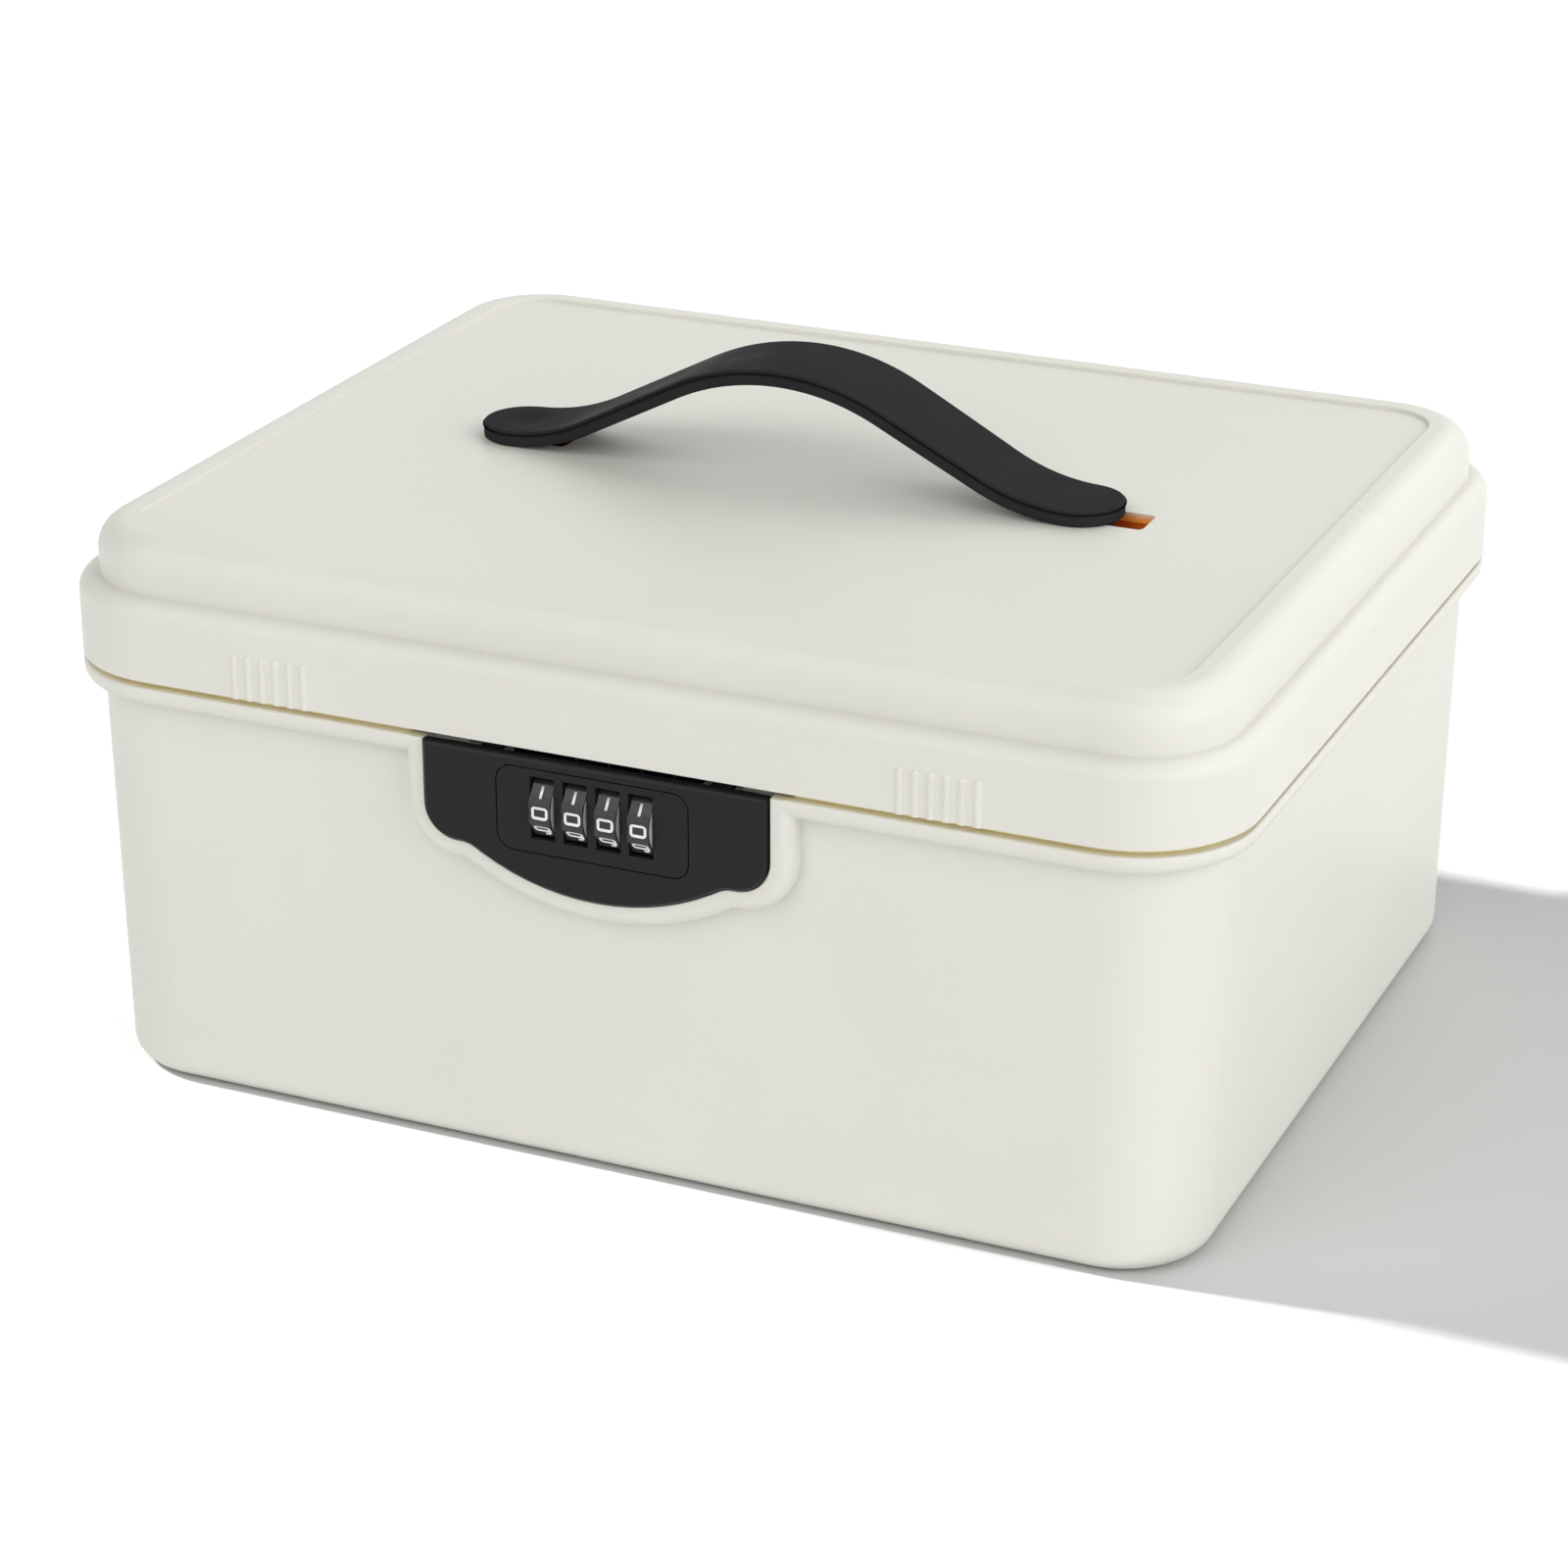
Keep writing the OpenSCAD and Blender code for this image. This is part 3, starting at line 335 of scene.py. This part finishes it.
def outline_reach(finish, x, y, box):
    """Distance of a point from the centre line of the nearest upright corner of a rounded box."""
    low, high = box
    spokes = []
    for coordinate, near, far in ((x, low.x, high.x), (y, low.y, high.y)):
        off = finish.math("ABSOLUTE", finish.math("SUBTRACT", coordinate, (near + far) / 2), 0)
        past = finish.math("MAXIMUM", finish.math("SUBTRACT", off, (far - near) / 2 - CORNER_R), 0)
        spokes.append(finish.math("POWER", past, 2))
    return finish.math("SQRT", finish.math("ADD", *spokes), 0)


def cream_plastic(colours, lid):
    """Satin polypropylene with a fine spark texture, with warm light painted into its colour on
    the slot walls and on the seam strip.
    """
    finish = Finish("cream_lid_plastic_painted_glow" if lid else "cream_base_plastic_painted_seam_light", colours.cream, 0.42,
                    IOR=1.49, Specular_IOR_Level=0.35,
                    Subsurface_Weight=0.10, Subsurface_Scale=0.0016)
    finish.shader.inputs["Subsurface Radius"].default_value = (1.0, 0.7, 0.35)
    finish.uneven(0.03, 0.38, 0.46)
    finish.grain([(0.00035, 0.000008, EVEN), (0.0009, 0.000008, EVEN), (0.045, 0.00012, EVEN)])
    colour = finish.mottle(0.06, 0.022)
    split = finish.add("ShaderNodeSeparateXYZ")
    finish.join(finish.place, split.inputs["Vector"])
    x, y, z = split.outputs
    if lid:
        # Painted orange glow on the walls of the two handle slots and of the wells under them,
        # standing in for light through the plastic
        panel = node_box("lid_shell")[1].z - PANEL_SINK
        strap_low, strap_high = node_box("handle_strap")
        middle = (strap_low.y + strap_high.y) / 2
        begin, full, fade, end = (panel - depth for depth in WELL_DEPTHS)
        depth = finish.ramp(z, begin, full, 0, 1)
        depth = finish.math("MULTIPLY", depth, finish.ramp(z, end, fade, 0, 1))
        across = band(finish, y, middle - WELL_HALF, middle + WELL_HALF, PAINTED_GLOW_SOFT)
        along = band(finish, finish.math("ABSOLUTE", x, 0), *WELL_ENDS, PAINTED_GLOW_SOFT)
        painted_light_mask = finish.math("MULTIPLY", depth, finish.math("MULTIPLY", across, along))
        painted_light = colours.painted_slot_glow
    else:
        # Painted warm light on the strip of the flange that shows through the seam under the
        # skirt, standing in for light bounced and passed through the plastic
        low, high = node_box("base_shell")
        flange = high.z - RIM_H
        front = node_box("lid_shell")[0].y
        outline = Vector((low.x, front, 0)), Vector((high.x, -front, 0))
        reach = outline_reach(finish, x, y, outline)
        inner, outer = (CORNER_R - depth for depth in STRIP_IN)
        bottom, top = (flange + rise for rise in STRIP_HEIGHTS)
        painted_light_mask = finish.math("MULTIPLY", band(finish, reach, inner, outer, STRIP_SOFT),
                           band(finish, z, bottom, top, PAINTED_GLOW_SOFT))
        painted_light = colours.painted_seam_glow
    return finish.paint(finish.mix(painted_light_mask, colour, (*painted_light, 1.0)))


def strap_plastic(colours):
    """Soft black plastic with a satin skin."""
    finish = Finish("strap_satin_black", colours.strap, 0.42, IOR=1.5, Specular_IOR_Level=0.004)
    finish.uneven(0.012, 0.36, 0.5)
    finish.grain([(0.0004, 0.00001, EVEN), (0.0016, 0.000012, EVEN), (0.02, 0.00006, EVEN)])
    return finish.paint(finish.mottle(0.02, 0.12))


def lock_plastic(colours):
    """Hard black plastic, finely eroded."""
    finish = Finish("lock_matt_black", colours.lock, 0.4, IOR=1.5, Specular_IOR_Level=0.14)
    finish.uneven(0.008, 0.34, 0.46)
    finish.grain([(0.00022, 0.000006, EVEN), (0.0007, 0.000006, EVEN), (0.012, 0.00003, EVEN)])
    return finish.paint(finish.mottle(0.015, 0.10))


def dial_plastic(colours):
    """Dark grey dials, with a roughness that varies a little at random."""
    finish = Finish("dial_dark_grey", colours.dial, 0.38, IOR=1.5, Specular_IOR_Level=0.35)
    finish.uneven(0.003, 0.3, 0.46)
    finish.grain([(0.00018, 0.000004, EVEN), (0.0012, 0.000006, (1, 4, 4))])
    return finish.paint(finish.mottle(0.004, 0.14))


def disc_plastic(colours):
    """Pale grey discs and hubs."""
    finish = Finish("sleeve_pale_grey", colours.disc, 0.33, IOR=1.5)
    finish.uneven(0.004, 0.28, 0.4)
    finish.grain([(0.0002, 0.000004, EVEN)])
    return finish.paint(finish.mottle(0.004, 0.08))


def number_paint(colours):
    """White paint, thin at places."""
    finish = Finish("number_white_paint", colours.number, 0.5)
    finish.uneven(0.001, 0.42, 0.58)
    finish.grain([(0.00025, 0.00001, EVEN)])
    return finish.paint(finish.mottle(0.0012, 0.14))


def bright_steel(colours):
    """Drawn steel with marks along its length."""
    finish = Finish("bright_steel", colours.steel, 0.3, Metallic=1.0)
    finish.uneven(0.004, 0.22, 0.42)
    finish.grain([(0.00015, 0.000004, (0.15, 1, 1)), (0.0015, 0.00001, EVEN)])
    return finish.paint(finish.mottle(0.003, 0.2))


def dark_steel(colours):
    """Phosphated steel of the hooks and the comb, dark and a little rough."""
    finish = Finish("dark_steel", tuple(c * 0.16 for c in colours.steel), 0.45, Metallic=0.85)
    finish.uneven(0.003, 0.36, 0.55)
    finish.grain([(0.0002, 0.000006, EVEN), (0.002, 0.00001, EVEN)])
    return finish.paint(finish.mottle(0.002, 0.25))


def dress(names, material):
    """Gives solids a finish in their material slots."""
    for name in names:
        solid = NODES[name]
        if not solid.data.materials:
            solid.data.materials.append(material)
        for slot in solid.material_slots:
            slot.link = "OBJECT"
            slot.material = material


def add_piece(bm, name, material, smooth=True):
    """Makes a finished piece of a bmesh, with its faces pointing outwards."""
    bmesh.ops.recalc_face_normals(bm, faces=bm.faces)
    for face in bm.faces:
        face.smooth = smooth
    mesh = bpy.data.meshes.new(name)
    bm.to_mesh(mesh)
    bm.free()
    piece = bpy.data.objects.new(name, mesh)
    bpy.context.scene.collection.objects.link(piece)
    piece.data.materials.append(material)
    return piece


def cut(bm, place, normal):
    """Cuts the whole mesh along a plane and keeps both sides."""
    bmesh.ops.bisect_plane(bm, geom=bm.verts[:] + bm.edges[:] + bm.faces[:], dist=0.01 * MM,
                           plane_co=place, plane_no=normal)


def strap_height(x, sizes, below):
    """Height over the panel, at x from the middle, of the strap's top face or a face below it."""
    crest, heel = sizes.crest - below, sizes.heel + below
    end = sizes.lift + sizes.thickness - below
    crest_z, heel_z = sizes.rise - sizes.crest, end + heel
    rise, fall = math.sin(sizes.slope), math.cos(sizes.slope)
    run = (crest + heel) * rise + (crest_z + (crest + heel) * fall - heel_z) * fall / rise
    x = abs(x)
    if x < crest * rise:
        return crest_z + math.sqrt(crest ** 2 - x ** 2)
    if x < run - heel * rise:
        return crest_z + crest * fall - (x - crest * rise) * rise / fall
    if x < run:
        return heel_z - math.sqrt(heel ** 2 - (run - x) ** 2)
    return end


def strap_outline(sizes):
    """Plan of the strap, wider in the middle, with round ends."""
    end_r = sizes.end_width / 2
    swell = (sizes.middle_width - sizes.end_width) / 2
    outline = []
    for side in (1, -1):
        for k in range(-12, 13):
            turn = math.radians(k * 7.5)
            x, y = sizes.half + end_r * math.cos(turn), end_r * math.sin(turn)
            outline.append(Vector((x, y, 0)) * side)
        for k in range(1, 60):
            x = sizes.half * (1 - k / 30)
            y = end_r + swell * math.cos(math.pi / 2 * x / sizes.half)
            outline.append(Vector((x, y, 0)) * side)
    return outline


def strap_groove(bm, sizes):
    """Presses a fine groove into the side wall, just under the upper edge."""
    upper, middle, lower = (sizes.thickness - sizes.edge - depth for depth in GROOVE_DEPTHS)
    for z in (upper, lower):
        cut(bm, (0, 0, z), (0, 0, 1))
    wall = [f for f in bm.faces if abs(f.normal.z) < 0.5
            and abs(f.calc_center_median().z - middle) < 0.1 * MM]
    pressed = bmesh.ops.extrude_face_region(bm, geom=wall)["geom"]
    for vert in (v for v in pressed if isinstance(v, bmesh.types.BMVert)):
        x = vert.co.x
        centre = max(-sizes.half, min(sizes.half, x))
        out = Vector((x - centre, vert.co.y, 0)).normalized()
        vert.co -= out * sizes.groove


def strap_piece(sizes, material):
    """The bent strap with round edges, its groove, the thumb dish and the two studs."""
    low, high = node_box("handle_strap")
    panel = high.z - sizes.rise
    bm = bmesh.new()
    plan = bm.faces.new([bm.verts.new(point) for point in strap_outline(sizes)])
    raised = bmesh.ops.extrude_face_region(bm, geom=[plan])["geom"]
    bmesh.ops.translate(bm, vec=(0, 0, sizes.thickness),
                        verts=[v for v in raised if isinstance(v, bmesh.types.BMVert)])
    bmesh.ops.recalc_face_normals(bm, faces=bm.faces)
    rims = [e for e in bm.edges if len({round(f.normal.z) for f in e.link_faces}) > 1]
    bmesh.ops.bevel(bm, geom=rims, offset=sizes.edge, segments=3, profile=0.5, affect="EDGES",
                    clamp_overlap=False, material=-1)
    bm.normal_update()
    strap_groove(bm, sizes)
    bm.normal_update()
    flats = [f for f in bm.faces if abs(f.normal.z) > 0.99]
    bmesh.ops.inset_region(bm, faces=flats, thickness=0.5 * MM)
    reach = sizes.half + sizes.end_width / 2
    for k in range(1, STRAP_PIECES):
        cut(bm, (reach * (2 * k / STRAP_PIECES - 1), 0, 0), (1, 0, 0))
    for k in range(-STRAP_ROWS, STRAP_ROWS + 1):
        cut(bm, (0, k * STRAP_ROW, 0), (0, 1, 0))
    for vert in bm.verts:
        x, y, share = vert.co.x, vert.co.y, vert.co.z / sizes.thickness
        top, under = (strap_height(x, sizes, below) for below in (0, sizes.thickness))
        off = math.hypot(x + sizes.half, y) / DISH_R
        dip = sizes.dish * (1 - off ** 2) ** 2 if off < 1 and share > 0.95 else 0
        vert.co.z = panel + under + (top - under) * share - dip
    for mesh in stud_shapes(low.z, panel, sizes):
        bm.from_mesh(mesh)
        bpy.data.meshes.remove(mesh)
    bmesh.ops.translate(bm, verts=bm.verts, vec=((low.x + high.x) / 2, (low.y + high.y) / 2, 0))
    return add_piece(bm, "strap_with_studs", material)


def stud_shapes(foot, panel, sizes):
    """The two studs under the ends: a shank through the slot and a head with a soft edge."""
    meshes = []
    for side in (-1, 1):
        bm = bmesh.new()
        for radius, bottom, top in ((HEAD_R, foot, foot + HEAD_H),
                                    (SHANK_R, foot + HEAD_H - STUD_OVERLAP, panel + MM)):
            ring = bmesh.ops.create_cone(bm, cap_ends=True, segments=64, radius1=radius,
                                         radius2=radius, depth=top - bottom)["verts"]
            bmesh.ops.translate(bm, verts=ring, vec=(side * sizes.half, 0, (top + bottom) / 2))
            edges = {e for v in ring for e in v.link_edges
                     if len({round(f.normal.z) for f in e.link_faces}) > 1}
            bmesh.ops.bevel(bm, geom=list(edges), offset=STUD_EDGE, segments=2, profile=0.5,
                            affect="EDGES", material=-1)
        mesh = bpy.data.meshes.new("stud")
        bm.to_mesh(mesh)
        bm.free()
        meshes.append(mesh)
    return meshes


def rounded(points, radius, closed=False, steps=5):
    """A path with its corners turned by arcs of a radius."""
    count = len(points)
    path = []
    for i, here in enumerate(points):
        if not closed and i in (0, count - 1):
            path.append(Vector(here))
            continue
        here = Vector(here)
        before = Vector(points[i - 1]) - here
        after = Vector(points[(i + 1) % count]) - here
        half = before.angle(after) / 2
        trim = min(radius / math.tan(half), before.length / 2, after.length / 2)
        size = trim * math.tan(half)
        start = here + before.normalized() * trim
        end = here + after.normalized() * trim
        inward = (before.normalized() + after.normalized()).normalized()
        centre = here + inward * (size / math.sin(half))
        for k in range(steps + 1):
            spoke = (start - centre).lerp(end - centre, k / steps).normalized() * size
            path.append(centre + spoke)
    return path


def number_paths(width, height):
    """Middle lines of the strokes of 0 to 9, as lists of points and whether each closes."""
    w, h, m = width / 2, height / 2, 0.0
    cap, low = h * 0.24, -h * 0.3
    loop = [(-w, h), (w, h), (w, -h), (-w, -h)]
    return [
        [(loop, True)],
        [([(m, h + cap), (m, -h - cap)], False)],
        [([(-w, h), (w, h), (w, m), (-w, m), (-w, -h), (w, -h)], False)],
        [([(-w, h), (w, h), (w, -h), (-w, -h)], False), ([(-w * 0.5, m), (w, m)], False)],
        [([(-w, h), (-w, -h * 0.25), (w, -h * 0.25)], False),
         ([(w * 0.45, h), (w * 0.45, -h)], False)],
        [([(w, h), (-w, h), (-w, m), (w, m), (w, -h), (-w, -h)], False)],
        [([(-w, -h), (w, -h), (w, -low), (-w, -low)], True),
         ([(-w, m), (-w, h), (-w * 0.3, h)], False)],
        [([(-w, h), (w, h), (-w * 0.1, -h)], False)],
        [(loop, True), ([(-w, m), (w, m)], False)],
        [([(w, h), (-w, h), (-w, low), (w, low)], True),
         ([(w, m), (w, -h), (w * 0.3, -h)], False)],
    ]


def stroke_mesh(bm, path, closed, sizes, seat):
    """One stroke: a low bar with a round back, sunk into the number's face."""
    half = sizes.stroke / 2
    profile = [(-half, -sizes.relief), (-half, sizes.relief * 0.55), (-half * 0.62, sizes.relief),
               (half * 0.62, sizes.relief), (half, sizes.relief * 0.55), (half, -sizes.relief)]
    count = len(path)
    rings = []
    for i, point in enumerate(path):
        before = path[i - 1] if (closed or i > 0) else point
        after = path[(i + 1) % count] if (closed or i < count - 1) else point
        along = (after - before).normalized()
        across = Vector((along.y, -along.x))
        ring = []
        for side, height in profile:
            flat = point + across * side
            ring.append(bm.verts.new(seat(flat.x, flat.y, height)))
        rings.append(ring)
    edges = [[bm.edges.new((ring[k], ring[(k + 1) % len(ring)])) for k in range(len(ring))]
             for ring in rings]
    pairs = list(zip(edges, edges[1:])) + ([(edges[-1], edges[0])] if closed else [])
    for one, other in pairs:
        bmesh.ops.bridge_loops(bm, edges=one + other)
    if not closed:
        for ring in (rings[0], rings[-1]):
            bm.faces.new(ring)


def dial_number_piece(dial, joint, sizes, material):
    """The ten numbers of one dial. 0 faces the front and 1 is above it."""
    low, high = node_box(dial)
    axis = Vector(joint["pos_m"])
    middle_x = (low.x + high.x) / 2
    bm = bmesh.new()
    for digit, strokes in enumerate(number_paths(sizes.width, sizes.height)):
        turn = math.radians(36 * digit)
        out = Vector((0, -math.cos(turn), math.sin(turn)))
        up = Vector((0, math.sin(turn), math.cos(turn)))

        def seat(u, v, height):
            depth = FACE_R + HOLLOW_R - math.sqrt(HOLLOW_R ** 2 - v ** 2)
            spot = Vector((middle_x + u, axis.y, axis.z))
            return spot + up * v + out * (depth + height)

        for points, closed in strokes:
            path = rounded(points, STROKE_TURN_R, closed)
            stroke_mesh(bm, path, closed, sizes, seat)
    return add_piece(bm, dial + "_numbers", material)


class MEDCASE_OT_shells(bpy.types.Operator):
    """Gives the base and the lid their cream plastic"""
    bl_idname = "medcase.shells"
    bl_label = "Base and lid"

    def execute(self, context):
        colours = context.scene.case_colours
        dress(["base_shell"], cream_plastic(colours, lid=False))
        dress(["lid_shell"], cream_plastic(colours, lid=True))
        return {"FINISHED"}


class MEDCASE_OT_strap(bpy.types.Operator):
    """Models the handle strap with its round edges, groove and studs"""
    bl_idname = "medcase.strap"
    bl_label = "Handle strap"

    def execute(self, context):
        material = strap_plastic(context.scene.case_colours)
        dress(["handle_strap"], material)
        piece = strap_piece(context.scene.strap_sizes, material)
        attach(piece, "handle")
        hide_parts("handle_strap")
        return {"FINISHED"}


class MEDCASE_OT_lock(bpy.types.Operator):
    """Gives the latch, the bezel, the dials and their discs their plastics"""
    bl_idname = "medcase.lock"
    bl_label = "Latch and dials"

    def execute(self, context):
        colours = context.scene.case_colours
        dress(["latch_plate", "dial_bezel", "lock_cover", "reset_slider", "lid_strike"],
              lock_plastic(colours))
        dress(["dial_%d" % n for n in range(1, 5)], dial_plastic(colours))
        dress(["dial_sleeve_%d" % n for n in range(1, 5)], disc_plastic(colours))
        return {"FINISHED"}


class MEDCASE_OT_metal(bpy.types.Operator):
    """Gives pins, screws, springs, hooks and the comb their steel"""
    bl_idname = "medcase.metal"
    bl_label = "Steel parts"

    def execute(self, context):
        colours = context.scene.case_colours
        dress(["hinge_pins", "latch_pins", "bezel_screws", "dial_spindle", "spindle_clips",
               "cover_screws", "strike_screws"], bright_steel(colours))
        dress(["latch_hooks", "hook_screws", "latch_springs", "detent_spring", "locking_comb"],
              dark_steel(colours))
        return {"FINISHED"}


class MEDCASE_OT_numbers(bpy.types.Operator):
    """Adds the numbers 0 to 9 round each dial"""
    bl_idname = "medcase.numbers"
    bl_label = "Dial numbers"

    def execute(self, context):
        material = number_paint(context.scene.case_colours)
        sizes = context.scene.number_sizes
        for n, name in enumerate(DIALS, 1):
            joint = JOINTS[name + "_dial_turn"]
            piece = dial_number_piece("dial_%d" % n, joint, sizes, material)
            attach(piece, name + "_dial")
        return {"FINISHED"}


def seen_share(tree):
    """1 where the camera sees a surface, straight, in a reflection or through something clear."""
    path = tree.nodes.new("ShaderNodeLightPath")
    last = path.outputs["Is Camera Ray"]
    for ray in ("Is Glossy Ray", "Is Transmission Ray"):
        node = tree.nodes.new("ShaderNodeMath")
        node.operation = "MAXIMUM"
        tree.links.new(last, node.inputs[0])
        tree.links.new(path.outputs[ray], node.inputs[1])
        last = node.outputs["Value"]
    return last


def lamp(name, towards, power, angle):
    """A soft lamp without falloff that shines from a direction onto the case."""
    data = bpy.data.lights.new(name, "SUN")
    data.energy = power
    data.angle = math.radians(angle)
    light = bpy.data.objects.new(name, data)
    bpy.context.scene.collection.objects.link(light)
    light.rotation_euler = Vector(towards).to_track_quat("Z", "Y").to_euler()
    light.location = Vector(towards).normalized() * 2
    return light


class MEDCASE_OT_stage(bpy.types.Operator):
    """Adds the floor, the world, the lamps and the camera"""
    bl_idname = "medcase.stage"
    bl_label = "Floor, light and camera"

    def execute(self, context):
        scene = context.scene
        settings = scene.stage_settings
        scene.view_settings.view_transform = "Standard"

        bm = bmesh.new()
        bmesh.ops.create_grid(bm, x_segments=1, y_segments=1, size=4)
        mesh = bpy.data.meshes.new("floor")
        bm.to_mesh(mesh)
        bm.free()
        floor = bpy.data.objects.new("floor", mesh)
        scene.collection.objects.link(floor)
        finish = Finish("floor_white", settings.floor, 1.0, Specular_IOR_Level=0.0)
        bounce = (*settings.floor_bounce, 1.0)
        finish.paint(finish.mix(seen_share(finish.tree), bounce, finish.colour))
        floor.data.materials.append(finish.material)

        world = bpy.data.worlds.new("studio")
        scene.world = world
        world.use_nodes = True
        tree = world.node_tree
        background = tree.nodes["Background"]
        background.inputs["Color"].default_value = (1, 1, 1, 1)
        share = tree.nodes.new("ShaderNodeMapRange")
        share.inputs["To Min"].default_value = settings.world
        share.inputs["To Max"].default_value = 1.0
        tree.links.new(seen_share(tree), share.inputs["Value"])
        tree.links.new(share.outputs["Result"], background.inputs["Strength"])

        lamp("back_lamp", BACK_LAMP, settings.back, 60)
        lamp("side_lamp", SIDE_LAMP, settings.side, 70)
        lamp("front_lamp", FRONT_LAMP, settings.front, 60)
        floor_only = bpy.data.collections.new("floor_only")
        floor_only.objects.link(floor)
        thrower = lamp("shadow_lamp", SHADOW_LAMP, settings.shadow, 3)
        thrower.light_linking.receiver_collection = floor_only

        camera_data = bpy.data.cameras.new("camera")
        camera_data.lens = settings.lens
        camera_data.sensor_width = 36
        camera_data.clip_end = 20
        camera = bpy.data.objects.new("camera", camera_data)
        scene.collection.objects.link(camera)
        camera.location = CAMERA_PLACE
        camera.rotation_euler = (math.pi / 2 - CAMERA_DOWN, 0, CAMERA_ROUND)
        scene.camera = camera
        return {"FINISHED"}


class MEDCASE_PT_panel(bpy.types.Panel):
    """Lists the steps in the sidebar of the 3D view"""
    bl_idname = "MEDCASE_PT_panel"
    bl_label = "Medicine case"
    bl_space_type = "VIEW_3D"
    bl_region_type = "UI"
    bl_category = "Medicine case"

    def draw(self, context):
        for operator in OPERATORS:
            self.layout.operator(operator.bl_idname)
        for group in SETTINGS:
            box = self.layout.box()
            settings = getattr(context.scene, group)
            for key in settings.bl_rna.properties.keys():
                if key not in ("rna_type", "name"):
                    box.prop(settings, key)


OPERATORS = (MEDCASE_OT_shells, MEDCASE_OT_strap, MEDCASE_OT_lock, MEDCASE_OT_metal,
             MEDCASE_OT_numbers, MEDCASE_OT_stage)
SETTINGS = {"case_colours": CaseColours, "strap_sizes": StrapSizes, "number_sizes": NumberSizes,
            "stage_settings": StageSettings}


def register():
    for cls in (*SETTINGS.values(), *OPERATORS, MEDCASE_PT_panel):
        bpy.utils.register_class(cls)
    for name, group in SETTINGS.items():
        setattr(bpy.types.Scene, name, PointerProperty(type=group))


def unregister():
    for name in SETTINGS:
        delattr(bpy.types.Scene, name)
    for cls in (MEDCASE_PT_panel, *reversed(OPERATORS), *SETTINGS.values()):
        bpy.utils.unregister_class(cls)


def main():
    register()
    bpy.ops.medcase.shells()
    bpy.ops.medcase.strap()
    bpy.ops.medcase.lock()
    bpy.ops.medcase.metal()
    bpy.ops.medcase.numbers()
    bpy.ops.medcase.stage()


if __name__ == "__main__":
    main()
